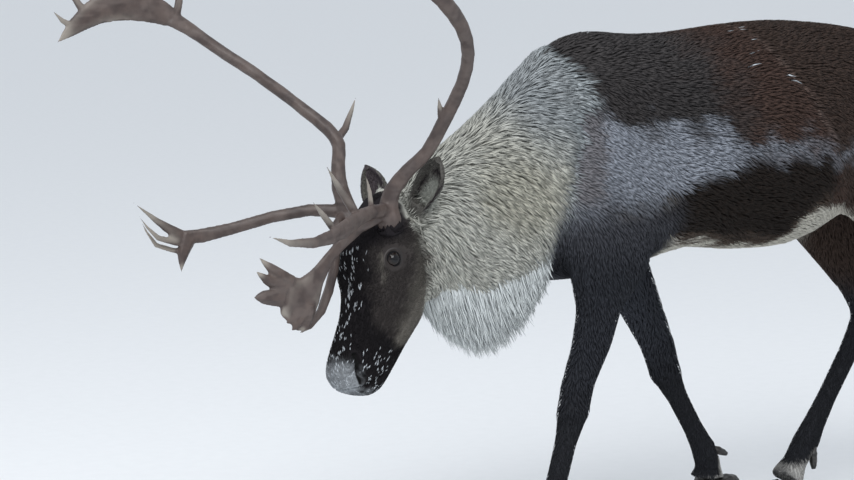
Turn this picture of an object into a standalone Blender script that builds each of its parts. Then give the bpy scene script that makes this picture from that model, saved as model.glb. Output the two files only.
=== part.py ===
"""A bull reindeer walking with its head held low, life size, as a still model.

Metres, +Z up. The animal faces -X, its left side is at -Y and its hooves stand on Z = 0.
The flesh is modelled whole from outlines and then parted by thin cuts into head, neck,
torso and legs. Hooves, eyes, ears, tail and antlers are seated in it.
"""

import math
import random

import bmesh
import bpy
from mathutils import Matrix, Vector

GAP = 0.0003                    # clearance between faces that touch
SHARPEST = 3.0                  # how much further a sharp corner may stand out
SIDES = {"left": -1, "right": 1}

BODY_SIDES = 20                 # points round a section of each kind of part
HEAD_SIDES = 22
LEG_SIDES = 12
HOOF_SIDES = 10
BEAM_SIDES = 8
TINE_SIDES = 5

# Head: turned to the left and tilted about the poll
POLL = Vector((-0.40, 0.0, 0.70))
HEAD_TURN = math.radians(8)
HEAD_TILT = math.radians(-7)
HEAD = (Matrix.Translation(POLL) @ Matrix.Rotation(HEAD_TURN, 4, "Z")
        @ Matrix.Rotation(HEAD_TILT, 4, "X") @ Matrix.Translation(-POLL))

# Rows of flesh outlines: front or top x, z; back or bottom x, z; half width; distance
# from the median plane; squareness of the section; how much it narrows to the front
TORSO = [
    (-0.162, 0.820, -0.160, 0.720, 0.045, 0.0, 2.0, 0.0),
    (-0.130, 0.960, -0.125, 0.608, 0.112, 0.0, 2.1, 0.10),
    (-0.055, 1.054, -0.062, 0.578, 0.142, 0.0, 2.1, 0.30),
    (0.030, 1.081, 0.030, 0.582, 0.164, 0.0, 2.2, 0.26),
    (0.125, 1.073, 0.130, 0.597, 0.182, 0.0, 2.2, 0.16),
    (0.250, 1.070, 0.260, 0.622, 0.196, 0.0, 2.2, 0.10),
    (0.400, 1.081, 0.410, 0.606, 0.208, 0.0, 2.2, 0.06),
    (0.530, 1.085, 0.540, 0.606, 0.204, 0.0, 2.2, 0.06),
    (0.660, 1.076, 0.660, 0.645, 0.180, 0.0, 2.2, 0.08),
    (0.790, 1.058, 0.770, 0.705, 0.158, 0.0, 2.2, 0.10),
    (0.900, 1.020, 0.870, 0.740, 0.138, 0.0, 2.2, 0.10),
    (0.985, 0.965, 0.965, 0.770, 0.100, 0.0, 2.1, 0.05),
    (1.015, 0.915, 1.005, 0.820, 0.045, 0.0, 2.0, 0.0),
]
NECK = [
    (0.060, 1.020, 0.020, 0.660, 0.120, 0.0, 2.1, 0.10),
    (-0.056, 1.056, -0.085, 0.604, 0.129, 0.0, 2.0, 0.36),
    (-0.121, 1.023, -0.150, 0.562, 0.128, 0.0, 2.0, 0.36),
    (-0.189, 0.966, -0.215, 0.520, 0.122, 0.0, 2.0, 0.30),
    (-0.275, 0.904, -0.285, 0.510, 0.113, 0.0, 2.0, 0.24),
    (-0.344, 0.862, -0.345, 0.535, 0.102, 0.0, 2.0, 0.14),
    (-0.405, 0.830, -0.385, 0.575, 0.088, 0.0, 2.1, 0.04),
    (-0.455, 0.800, -0.405, 0.610, 0.066, 0.0, 2.1, 0.0),
]
SKULL = [
    (-0.435, 0.800, -0.345, 0.620, 0.060, 0.0, 2.1, -0.05),
    (-0.500, 0.782, -0.362, 0.578, 0.069, 0.0, 2.2, -0.10),
    (-0.550, 0.728, -0.392, 0.554, 0.073, 0.0, 2.3, -0.14),
    (-0.582, 0.676, -0.420, 0.530, 0.074, 0.0, 2.3, -0.16),
    (-0.579, 0.622, -0.448, 0.503, 0.064, 0.0, 2.2, -0.12),
    (-0.594, 0.577, -0.472, 0.478, 0.052, 0.0, 2.2, -0.06),
    (-0.611, 0.545, -0.495, 0.454, 0.046, 0.0, 2.3, 0.0),
    (-0.629, 0.512, -0.519, 0.430, 0.0445, 0.0, 2.4, 0.0),
    (-0.643, 0.480, -0.545, 0.411, 0.0455, 0.0, 2.5, 0.0),
    (-0.647, 0.453, -0.574, 0.403, 0.0415, 0.0, 2.5, 0.0),
    (-0.637, 0.428, -0.598, 0.408, 0.027, 0.0, 2.2, 0.0),
]
NOSE_END = (-0.619, 0.414)

# Upper legs from blade or croup down to the knee or hock
FORE_FORWARD = [
    (0.020, 0.985, 0.100, 0.970, 0.022, 0.088, 2.0, 0.0),
    (-0.030, 0.930, 0.125, 0.910, 0.040, 0.106, 2.0, 0.0),
    (-0.085, 0.840, 0.128, 0.820, 0.052, 0.118, 2.0, 0.0),
    (-0.128, 0.745, 0.124, 0.735, 0.059, 0.123, 2.0, 0.0),
    (-0.120, 0.670, 0.112, 0.660, 0.059, 0.124, 2.0, 0.0),
    (-0.098, 0.600, 0.090, 0.600, 0.053, 0.124, 2.0, 0.0),
    (-0.078, 0.530, 0.022, 0.530, 0.044, 0.122, 2.0, 0.0),
    (-0.091, 0.460, 0.000, 0.460, 0.038, 0.120, 2.0, 0.0),
    (-0.117, 0.385, -0.040, 0.385, 0.034, 0.118, 2.0, 0.0),
    (-0.124, 0.335, -0.055, 0.335, 0.034, 0.118, 2.0, 0.0),
]
FORE_BACK = [
    (0.030, 0.985, 0.110, 0.970, 0.022, 0.088, 2.0, 0.0),
    (0.000, 0.930, 0.150, 0.910, 0.040, 0.106, 2.0, 0.0),
    (-0.050, 0.840, 0.170, 0.820, 0.052, 0.118, 2.0, 0.0),
    (-0.080, 0.745, 0.200, 0.745, 0.059, 0.123, 2.0, 0.0),
    (-0.030, 0.655, 0.250, 0.690, 0.058, 0.123, 2.0, 0.0),
    (0.080, 0.590, 0.290, 0.635, 0.052, 0.122, 2.0, 0.0),
    (0.180, 0.535, 0.322, 0.560, 0.044, 0.120, 2.0, 0.0),
    (0.243, 0.470, 0.350, 0.487, 0.038, 0.118, 2.0, 0.0),
    (0.300, 0.390, 0.384, 0.402, 0.034, 0.116, 2.0, 0.0),
    (0.328, 0.330, 0.399, 0.345, 0.034, 0.116, 2.0, 0.0),
]
HIND_FORWARD = [
    (0.660, 1.020, 0.900, 1.000, 0.036, 0.082, 2.0, 0.0),
    (0.600, 0.940, 0.990, 0.930, 0.054, 0.104, 2.0, 0.0),
    (0.580, 0.850, 1.038, 0.840, 0.062, 0.112, 2.0, 0.0),
    (0.595, 0.760, 1.045, 0.745, 0.064, 0.115, 2.0, 0.0),
    (0.640, 0.670, 1.025, 0.665, 0.060, 0.118, 2.0, 0.0),
    (0.735, 0.600, 1.000, 0.590, 0.052, 0.120, 2.0, 0.0),
    (0.815, 0.530, 0.988, 0.530, 0.044, 0.120, 2.0, 0.0),
    (0.890, 0.460, 0.996, 0.475, 0.038, 0.120, 2.0, 0.0),
    (0.928, 0.405, 1.006, 0.425, 0.035, 0.120, 2.0, 0.0),
]
HIND_BACK = [
    (0.650, 1.020, 0.900, 1.000, 0.036, 0.082, 2.0, 0.0),
    (0.582, 0.940, 0.992, 0.930, 0.054, 0.104, 2.0, 0.0),
    (0.556, 0.850, 1.042, 0.840, 0.063, 0.112, 2.0, 0.0),
    (0.575, 0.760, 1.065, 0.745, 0.065, 0.115, 2.0, 0.0),
    (0.650, 0.675, 1.075, 0.668, 0.060, 0.118, 2.0, 0.0),
    (0.765, 0.600, 1.083, 0.606, 0.052, 0.120, 2.0, 0.0),
    (0.890, 0.530, 1.100, 0.555, 0.044, 0.120, 2.0, 0.0),
    (0.995, 0.470, 1.128, 0.507, 0.038, 0.120, 2.0, 0.0),
    (1.062, 0.415, 1.146, 0.450, 0.036, 0.120, 2.0, 0.0),
]

# Lower legs: place between knee 0, fetlock 1 and coronet 2; reach to the front and to
# the back of the bone; half width
CANNON = [
    (0.16, 0.029, 0.029, 0.029),
    (0.36, 0.0235, 0.0235, 0.0235),
    (0.66, 0.0220, 0.0235, 0.0225),
    (0.86, 0.0240, 0.0280, 0.0265),
    (1.02, 0.0270, 0.0350, 0.0320),
    (1.40, 0.0250, 0.0270, 0.0300),
    (1.80, 0.0330, 0.0330, 0.0400),
    (2.10, 0.0340, 0.0360, 0.0430),
]
BEND_SPAN = 0.40                # share of a bone over which its sections turn
LAST_TURN = 1.5                 # below this place the sections turn no more
PASTERN_END = 0.016             # how far the pastern reaches down between the hooves

# Feet: the hoof tip's x, how far the heel is lifted, the fetlock's x and z
LEGS = {
    "fore_left": ("left", FORE_FORWARD, -0.252, 0, (-0.150, 0.140)),
    "fore_right": ("right", FORE_BACK, 0.480, 50, (0.478, 0.152)),
    "hind_left": ("left", HIND_BACK, 1.160, 52, (1.162, 0.158)),
    "hind_right": ("right", HIND_FORWARD, 0.640, 0, (0.782, 0.150)),
}
LEG_OUT = {"fore": 0.118, "hind": 0.120}

# A hoof's claw: forward of its middle; sole; top; half width; shift to the inside
CLAW = [
    (-0.050, 0.012, 0.030, 0.009, 0.000),
    (-0.040, -0.004, 0.046, 0.018, 0.000),
    (-0.012, -0.004, 0.064, 0.0235, 0.000),
    (0.018, -0.004, 0.054, 0.0235, 0.001),
    (0.044, -0.004, 0.034, 0.0185, 0.004),
    (0.062, -0.004, 0.016, 0.0105, 0.009),
]
CLAW_TIP = (0.070, 0.002, 0.013)
CLAW_OUT = 0.0262
CLAW_SQUARE = 2.6
DEWCLAW = {False: (0.052, 0.62, 0.008), True: (0.038, 1.60, -0.010)}   # length, slant, drop
DEWCLAW_FORM = ((0.0, 0.010), (0.35, 0.012), (0.7, 0.0105), (1.0, 0.006))
DEWCLAW_FLAT = 0.8
DEWCLAW_BACK, DEWCLAW_OUT, DEWCLAW_SPREAD = 0.012, 0.0150, 0.008
PIVOT = 0.060                   # the point of the sole that a lifted hoof turns on
CORONET = (-0.016, 0.070)

# The parts of the whole flesh that make each upper leg, seen from the side
BLOCKS = {
    "fore_left": [(0.00, 1.00), (0.115, 0.96), (0.150, 0.72), (0.140, 0.60), (0.08, 0.25),
                  (-0.21, 0.25), (-0.15, 0.56), (-0.165, 0.72), (-0.11, 0.87)],
    "fore_right": [(0.02, 1.00), (0.13, 0.97), (0.235, 0.78), (0.34, 0.66), (0.44, 0.50),
                   (0.46, 0.25), (0.25, 0.25), (0.13, 0.50), (-0.04, 0.57), (-0.115, 0.72),
                   (-0.07, 0.87)],
    "hind_left": [(0.62, 1.00), (0.95, 0.99), (1.10, 0.90), (1.20, 0.60), (1.25, 0.36),
                  (0.95, 0.36), (0.75, 0.53), (0.60, 0.62), (0.535, 0.74), (0.54, 0.88)],
    "hind_right": [(0.62, 1.00), (0.95, 0.99), (1.10, 0.90), (1.10, 0.60), (1.08, 0.33),
                   (0.86, 0.33), (0.76, 0.48), (0.60, 0.62), (0.545, 0.74), (0.55, 0.88)],
}
BLOCK_INSIDE = {"fore": 0.060, "hind": 0.046}
BLOCK_OUTSIDE = 0.40
NECK_CUT = (Vector((-0.112, 0.0, 0.82)), Vector((1.0, 0.0, -0.09)))
HEAD_CUT = (Vector((-0.408, 0.0, 0.70)), Vector((1.0, 0.0, 0.20)))

EYE = Vector((-0.522, 0.0565, 0.660))
EYE_SIZE = 0.0185
EYE_OPENING = 0.0160
EYE_SEGMENTS, EYE_RINGS = 14, 8
LOOK = (-0.42, 0.90, 0.05)      # the way in which an eye looks: front, side, up
EYE_CORNERS = (0.35, 0.0, 0.94)     # from the front corner of the lids up to the back
LID_THICK = 0.0042
LID_HEAVIER = 0.3               # how much thicker the upper lid is
LID_LOW, LID_WIDE = 0.86, 1.08  # height and breadth of the lids to the eye's opening
LID_RISE = 0.001
LID_STEPS, LID_SIDES = 14, 6

# Ears: base and tip on each side, the way in which the cup opens; place along the ear,
# half breadth and half thickness; the cup leaves a wall
EAR_BASE = {-1: (-0.443, -0.036, 0.728), 1: (-0.451, 0.036, 0.733)}
EAR_TIP = {-1: (-0.462, -0.150, 0.848), 1: (-0.397, 0.118, 0.842)}
EAR_OPEN = {-1: (-0.90, -0.42, 0.05), 1: (-0.88, -0.46, -0.05)}
EAR_FORM = ((0.0, 0.015, 0.014), (0.22, 0.020, 0.017), (0.44, 0.029, 0.0155),
            (0.66, 0.0285, 0.0125), (0.86, 0.0175, 0.0080), (1.0, 0.0, 0.0))
EAR_CUP = (0.27, 0.90)          # from where to where the cup reaches
EAR_WALL = 0.0045
EAR_BOW = 0.012
CUP_DEEP = 1.10                 # the cup's half thickness to the ear's
EAR_SIDES, CUP_SIDES, CUP_STEPS = 10, 8, 4

# Nostrils: front, side and height on the head; half breadth and half thickness
NOSTRIL = (
    (-0.622, 0.040, 0.486, 0.0035, 0.0035),
    (-0.624, 0.043, 0.474, 0.0060, 0.0070),
    (-0.624, 0.043, 0.462, 0.0075, 0.0075),
    (-0.616, 0.041, 0.450, 0.0050, 0.0060),
    (-0.606, 0.042, 0.444, 0.0025, 0.0035),
)
MOUTH_FRONT = Vector((-0.634, 0.0, 0.4190))
MOUTH_CORNER = Vector((-0.549, 0.0, 0.4440))
MOUTH_OVER = 0.03               # how far the cutter stands out before the lips
MOUTH_HALF = 0.0014
MOUTH_BREADTH = 0.08
MOUTH_MIDDLE = (-0.584, 0.0, 0.442)
MOUTH_CORE = 0.84               # the share of the muzzle's size that stays whole
PEDICLE = (                     # front, side and height on the head; radius
    (-0.500, 0.042, 0.690, 0.0300),
    (-0.512, 0.048, 0.718, 0.0270),
    (-0.516, 0.052, 0.736, 0.0245),
)
PEDICLE_SIDES = 12

# Locks of hair: place along the lock and share of its breadth there
LOCK_FORM = ((0.0, 0.70), (0.35, 1.0), (0.70, 0.72), (1.0, 0.0))
LOCK_SIDES = 6
LOCK_WIDE = 0.050
LOCK_THICK = 0.015
ROOT_DEPTH = 0.016
ROOT_RISE = 0.012
MANE_RANKS = 9                  # ranks of locks from throat to brisket
MANE_FILES = 6                  # locks across a rank
MANE_FROM, MANE_TO = 5.45, 2.15     # places along the neck's rows
MANE_SPREAD = math.radians(64)
MANE_LONG = 0.088
MANE_SHORT = 0.040
MANE_RISE, MANE_FALL = 0.10, 0.82   # where the mane's length stands on a half wave
MANE_SIDE_LOSS = 0.30           # how much shorter the locks at the sides are
MANE_TURN = 0.06                # how unevenly the locks stand round the neck
MANE_WAY = (0.26, -0.10, -0.95)     # back, inward and down, as the locks set off
MANE_BEND = (0.20, -0.16, 0.02)     # and the way in which they bend
MANE_STRAY, MANE_WAVE = 0.07, 0.08
MANE_OPEN = 0.10
MANE_UNEVEN = (0.90, 1.08)
LOCK_UNEVEN = (0.88, 1.12)

TAIL_LOCKS = 9
TAIL_LOCK_LONG = 0.078
TAIL_LOCK_WIDE, TAIL_LOCK_THICK = 0.034, 0.012
TAIL_FROM, TAIL_OVER = 1.2, 2.2     # first place of the locks along the tail, and their span
TAIL_RISE = (0.9, 0.35)         # how far middle and side locks face backward
TAIL_SPREAD, TAIL_SEAT, TAIL_SINK = 0.16, 0.55, 0.2
TAIL_BEND = Vector((-0.10, 0.0, 0.0))
TAIL_UNEVEN = (0.85, 1.10)

TAIL = [
    (0.975, 0.0, 0.958, 0.030, 0.022),
    (1.015, 0.0, 0.955, 0.034, 0.024),
    (1.055, 0.0, 0.915, 0.036, 0.022),
    (1.076, 0.0, 0.860, 0.032, 0.018),
    (1.083, 0.0, 0.815, 0.018, 0.010),
]

# Colour and roughness of each finish
LOOKS = {
    "hide": ((0.10, 0.085, 0.08), 0.9),
    "cape": ((0.42, 0.40, 0.37), 0.95),
    "horn": ((0.02, 0.018, 0.018), 0.5),
    "antler": ((0.19, 0.13, 0.10), 0.6),
    "eye": ((0.02, 0.012, 0.010), 0.1),
}
CREASE = 40                     # degrees between faces that makes an edge look sharp


def between(rows, place):
    """The row of numbers at a fractional place, on a smooth curve through the rows."""
    last = len(rows) - 1
    i = min(int(place), last - 1)
    t = place - i
    near = (rows[max(i - 1, 0)], rows[i], rows[i + 1], rows[min(i + 2, last)])
    return [0.5 * (2 * b + (c - a) * t + (2 * a - 5 * b + 4 * c - d) * t * t
                   + (3 * b - a - 3 * c + d) * t ** 3) for a, b, c, d in zip(*near)]


def drawn(rows, steps):
    """The rows with as many steps from each to the next."""
    count = (len(rows) - 1) * steps
    return [between(rows, i / steps) for i in range(count + 1)]


def power(value, square):
    return math.copysign(abs(value) ** (2 / square), value)


def flesh_point(row, turn, side=1):
    """A point on a section of flesh; turn 0 is its front or top, pi its back or bottom."""
    front_x, front_z, back_x, back_z, half, out, square, narrow = row
    along = power(math.cos(turn), square)
    across = power(math.sin(turn), square) * half * (1 - narrow * along)
    x = (front_x + back_x) / 2 + (front_x - back_x) / 2 * along
    z = (front_z + back_z) / 2 + (front_z - back_z) / 2 * along
    return Vector((x, side * out + across, z))


def flesh_rings(rows, sides, side=1):
    return [[flesh_point(row, math.tau * i / sides, side) for i in range(sides)]
            for row in rows]


def finish(name, colour, roughness):
    """A material with a plain colour."""
    material = bpy.data.materials.new(name)
    material.use_nodes = True
    shader = material.node_tree.nodes["Principled BSDF"]
    shader.inputs["Base Color"].default_value = (*colour, 1.0)
    shader.inputs["Roughness"].default_value = roughness
    return material


def new_object(name, bm):
    mesh = bpy.data.meshes.new(name)
    bm.to_mesh(mesh)
    bm.free()
    obj = bpy.data.objects.new(name, mesh)
    bpy.context.scene.collection.objects.link(obj)
    return obj


def remove(obj):
    bpy.data.objects.remove(obj, do_unlink=True)


def lofted(name, rings):
    """A closed solid through rings of points; a ring of one point closes an end."""
    bm = bmesh.new()
    loops = [[bm.verts.new(point) for point in ring] for ring in rings]
    for one, two in zip(loops, loops[1:]):
        count = max(len(one), len(two))
        for i in range(count):
            j = i + 1
            corners = (one[i % len(one)], one[j % len(one)],
                       two[j % len(two)], two[i % len(two)])
            bm.faces.new(tuple(dict.fromkeys(corners)))
    for loop in (loops[0], loops[-1]):
        if len(loop) > 1:
            bm.faces.new(loop)
    bmesh.ops.recalc_face_normals(bm, faces=bm.faces)
    bmesh.ops.triangulate(bm, faces=bm.faces[:])
    return new_object(name, bm)


def branch(name, rows, broad_way, sides=8, steps=2):
    """A bent, tapered length: rows of x, y, z, half breadth, half thickness."""
    path = drawn(rows, steps)
    rings = []
    for i, (x, y, z, broad, thin) in enumerate(path):
        before = Vector(path[max(i - 1, 0)][:3])
        after = Vector(path[min(i + 1, len(path) - 1)][:3])
        along = (after - before).normalized()
        wide = (Vector(broad_way) - along * along.dot(Vector(broad_way))).normalized()
        flat = along.cross(wide)
        centre = Vector((x, y, z))
        if i == len(path) - 1 and broad == 0:
            rings.append([centre])
            continue
        rings.append([centre + wide * (broad * math.cos(math.tau * k / sides))
                      + flat * (thin * math.sin(math.tau * k / sides))
                      for k in range(sides)])
    return lofted(name, rings)


def applied(obj):
    """The object with its modifiers applied to its mesh."""
    graph = bpy.context.evaluated_depsgraph_get()
    mesh = bpy.data.meshes.new_from_object(obj.evaluated_get(graph))
    obj.modifiers.clear()
    obj.data = mesh
    return obj


def keep_largest(obj):
    """The object with only the largest of its closed surfaces."""
    bm = bmesh.new()
    bm.from_mesh(obj.data)
    left = set(bm.faces)
    groups = []
    while left:
        stack = [left.pop()]
        group = set(stack)
        while stack:
            for edge in stack.pop().edges:
                fresh = left.intersection(edge.link_faces) if len(edge.link_faces) == 2 else ()
                left.difference_update(fresh)
                group.update(fresh)
                stack.extend(fresh)
        groups.append(group)
    groups.sort(key=reach, reverse=True)
    extra = [face for group in groups[1:] for face in group]
    bmesh.ops.delete(bm, geom=extra, context="FACES")
    bm.to_mesh(obj.data)
    bm.free()
    return obj


def reach(group):
    """How large a group of faces is, as the sum of its box's sides."""
    points = [vert.co for face in group for vert in face.verts]
    return sum(max(p[k] for p in points) - min(p[k] for p in points) for k in range(3))


def fused(pieces):
    """One closed body from overlapping pieces; the first keeps its name."""
    base, others = pieces[0], pieces[1:]
    group = bpy.data.collections.new(base.name + "_pieces")
    bpy.context.scene.collection.children.link(group)
    for other in others:
        bpy.context.scene.collection.objects.unlink(other)
        group.objects.link(other)
    join = base.modifiers.new("join", "BOOLEAN")
    join.operand_type = "COLLECTION"
    join.collection = group
    join.operation = "UNION"
    applied(base)
    for other in others:
        remove(other)
    bpy.data.collections.remove(group)
    return keep_largest(base)


def carved(obj, cutter, operation="DIFFERENCE"):
    """The object cut by another one, which stays."""
    cut = obj.modifiers.new("cut", "BOOLEAN")
    cut.object = cutter
    cut.operation = operation
    applied(obj)
    return keep_largest(obj)


def copied(obj, name):
    twin = bpy.data.objects.new(name, obj.data.copy())
    bpy.context.scene.collection.objects.link(twin)
    return twin


def grown(obj, by=GAP):
    """A copy whose faces stand out by a small distance, for cutting a seat."""
    bm = bmesh.new()
    bm.from_mesh(obj.data)
    bm.normal_update()
    moves = [v.normal * (by * min(v.calc_shell_factor(), SHARPEST)) for v in bm.verts]
    for vert, move in zip(bm.verts, moves):
        vert.co += move
    return new_object(obj.name + "_grown", bm)


def seat(host, guest):
    """Cut the guest's own shape, a gap larger, out of the host."""
    cutter = grown(guest)
    carved(host, cutter)
    remove(cutter)


def trim(host, near):
    """Cut the host clear of a neighbour, inside the gap that their faces keep."""
    cutter = grown(near, GAP * 0.8)
    carved(host, cutter)
    remove(cutter)


def sliced(obj, name, point, outward):
    """A copy of the part of the object that lies behind a plane."""
    twin = copied(obj, name)
    bm = bmesh.new()
    bm.from_mesh(twin.data)
    geometry = bm.verts[:] + bm.edges[:] + bm.faces[:]
    bmesh.ops.bisect_plane(bm, geom=geometry, plane_co=point, plane_no=outward,
                           clear_outer=True)
    rim = [edge for edge in bm.edges if edge.is_boundary]
    bmesh.ops.triangle_fill(bm, edges=rim, use_beauty=True, use_dissolve=False)
    bmesh.ops.recalc_face_normals(bm, faces=bm.faces)
    bm.to_mesh(twin.data)
    bm.free()
    return keep_largest(twin)


def parted(obj, front_name, back_name, point, normal):
    """Two parts on either side of a plane, with the gap between them."""
    normal = normal.normalized()
    shift = normal * (GAP / 2)
    front = sliced(obj, front_name, point - shift, normal)
    back = sliced(obj, back_name, point + shift, -normal)
    remove(obj)
    return front, back


def prism(name, outline, inside, outside):
    """A side-view outline given breadth from y inside to y outside."""
    rings = [[Vector((x, y, z)) for x, z in outline] for y in (inside, outside)]
    return lofted(name, rings)


def foot_frame(leg):
    """The place and pitch of a foot, from its own forward, up and side to the world."""
    side, _, tip, lift, _ = LEGS[leg]
    out = SIDES[side] * LEG_OUT[leg[:4]]
    turn = Matrix.Rotation(math.radians(-lift), 4, "Y")
    return Matrix.Translation((tip + CLAW_TIP[0] - PIVOT, out, 0)) @ turn @ \
        Matrix.Translation((PIVOT, 0, 0))


def foot_point(leg, forward, up, out=0.0):
    return foot_frame(leg) @ Vector((-forward, out, up))


def claw(leg, part, way):
    """One of a foot's two main hooves, with its sole flat on the floor."""
    rings = []
    for forward, low, high, half, shift in CLAW:
        ring = []
        for i in range(HOOF_SIDES):
            turn = math.tau * i / HOOF_SIDES
            up = (low + high) / 2 + (high - low) / 2 * power(math.cos(turn), CLAW_SQUARE)
            out = way * (CLAW_OUT - shift) + half * power(math.sin(turn), CLAW_SQUARE)
            ring.append(foot_point(leg, forward, up, out))
        rings.append(ring)
    rings.append([foot_point(leg, CLAW_TIP[0], CLAW_TIP[1], way * (CLAW_OUT - CLAW_TIP[2]))])
    rough = lofted(f"{leg}_{part}_rough", rings)
    name = f"{leg}_hoof_{part}"
    made = sliced(rough, name, Vector((0, 0, 0)), Vector((0, 0, -1)))
    remove(rough)
    return made


def dewclaw(leg, part, way):
    """One of the two small hooves behind the fetlock."""
    fetlock = Vector((LEGS[leg][4][0], 0, LEGS[leg][4][1]))
    out = SIDES[LEGS[leg][0]] * LEG_OUT[leg[:4]]
    down = (foot_point(leg, *CORONET) - Vector((fetlock.x, out, fetlock.z))).normalized()
    back = Vector((-down.z, 0, down.x))
    long, slant, drop = DEWCLAW[LEGS[leg][3] > 0]
    root = fetlock + Vector((0, out, 0)) + back * DEWCLAW_BACK + down * drop
    root.y += way * DEWCLAW_OUT
    lie = (back * slant + down).normalized()
    rows = []
    for step, half in DEWCLAW_FORM:
        spot = root + lie * (long * step)
        spread = way * DEWCLAW_SPREAD * step
        rows.append((spot.x, spot.y + spread, spot.z, half, half * DEWCLAW_FLAT))
    return branch(f"{leg}_dewclaw_{part}", rows, (0, 1, 0), sides=6, steps=1)


def leg_rows(leg):
    """All the sections of a leg, from the blade or croup to between the hooves."""
    _, upper, _, _, fetlock = LEGS[leg]
    out = upper[-1][5]
    last = upper[-1]
    knee = Vector(((last[0] + last[2]) / 2, (last[1] + last[3]) / 2))
    coronet = foot_point(leg, *CORONET)
    end = foot_point(leg, CORONET[0] + PASTERN_END / 3, CORONET[1] - PASTERN_END)
    joints = [knee, Vector(fetlock), Vector((coronet.x, coronet.z)), Vector((end.x, end.z))]
    rows = list(upper)
    for place, front, back, half in CANNON:
        spot = Vector(between(joints, place))
        turn = min(place, LAST_TURN)
        below = Vector(between(joints, turn + BEND_SPAN))
        along = below - Vector(between(joints, max(turn - BEND_SPAN, 0)))
        along.normalize()
        ahead = Vector((along.y, -along.x))
        one = spot + ahead * front
        two = spot - ahead * back
        rows.append((one.x, one.y, two.x, two.y, half, out, 2.0, 0.0))
    return rows


def leg_solid(leg):
    side = SIDES[LEGS[leg][0]]
    rows = leg_rows(leg)
    return lofted(leg, flesh_rings(rows, LEG_SIDES, side))


def knee_plane(leg):
    """A point in the knee or hock and the direction down the leg there."""
    rows = LEGS[leg][1]
    front = Vector((rows[-1][0], 0, rows[-1][1]))
    back = Vector((rows[-1][2], 0, rows[-1][3]))
    across = (back - front).normalized()
    return (front + back) / 2, Vector((across.z, 0, -across.x))


def skull_solid(steps=2, sides=HEAD_SIDES):
    rings = flesh_rings(drawn(SKULL, steps), sides)
    rings.append([Vector((NOSE_END[0], 0, NOSE_END[1]))])
    skull = lofted("head", rings)
    skull.data.transform(HEAD)
    return skull


def on_head(x, y, z):
    return HEAD @ Vector((x, y, z))


def eyeball(name, way):
    bm = bmesh.new()
    bmesh.ops.create_uvsphere(bm, u_segments=EYE_SEGMENTS, v_segments=EYE_RINGS,
                              radius=EYE_SIZE)
    bm.transform(Matrix.Rotation(math.pi / 2, 4, "X"))
    ball = new_object(name, bm)
    ball.data.transform(HEAD @ Matrix.Translation((EYE.x, way * EYE.y, EYE.z)))
    return ball


def eye_lids(way):
    """The rim of skin round an eye, thicker above."""
    centre = Vector((EYE.x, way * EYE.y, EYE.z))
    look = Vector((LOOK[0], way * LOOK[1], LOOK[2])).normalized()
    level = look.cross(Vector(EYE_CORNERS)).normalized()
    rise = look.cross(level)
    depth = math.sqrt(EYE_SIZE ** 2 - EYE_OPENING ** 2)
    rings = []
    for i in range(LID_STEPS):
        turn = math.tau * i / LID_STEPS
        ray = level * math.cos(turn) + rise * (math.sin(turn) * LID_LOW)
        spot = centre + look * (depth + LID_RISE) + ray * (EYE_OPENING * LID_WIDE)
        thick = LID_THICK * (1 + LID_HEAVIER * math.sin(turn))
        rings.append([spot + ray.normalized() * (thick * math.cos(math.tau * k / LID_SIDES))
                      + look * (thick * math.sin(math.tau * k / LID_SIDES))
                      for k in range(LID_SIDES)])
    bm = bmesh.new()
    loops = [[bm.verts.new(HEAD @ point) for point in ring] for ring in rings]
    for one, two in zip(loops, loops[1:] + loops[:1]):
        for k in range(LID_SIDES):
            bm.faces.new((one[k], one[k - 1], two[k - 1], two[k]))
    bmesh.ops.recalc_face_normals(bm, faces=bm.faces)
    bmesh.ops.triangulate(bm, faces=bm.faces[:])
    return new_object("lids", bm)


def nostril(way):
    """The comma-shaped hollow of a nostril, as a cutter."""
    rows = [(*on_head(x, way * y, z), broad, thin) for x, y, z, broad, thin in NOSTRIL]
    return branch("nostril", rows, (1, 0, 0), sides=8, steps=1)


def mouth_slit():
    """The line between the lips: a thin shell round the muzzle, as a cutter."""
    run = (MOUTH_CORNER - MOUTH_FRONT).normalized()
    rise = Vector((-run.z, 0, run.x)) * MOUTH_HALF
    start = MOUTH_FRONT - run * MOUTH_OVER
    outline = [start + rise, MOUTH_CORNER + rise, MOUTH_CORNER - rise, start - rise]
    slab = prism("slit", [(p.x, p.z) for p in outline], -MOUTH_BREADTH, MOUTH_BREADTH)
    slab.data.transform(HEAD)
    core = skull_solid(1, HEAD_SIDES // 2)
    middle = on_head(*MOUTH_MIDDLE)
    core.data.transform(Matrix.Translation(middle) @ Matrix.Scale(MOUTH_CORE, 4)
                        @ Matrix.Translation(-middle))
    cut = slab.modifiers.new("hollow", "BOOLEAN")
    cut.object = core
    applied(slab)
    remove(core)
    return keep_largest(slab)


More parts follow.
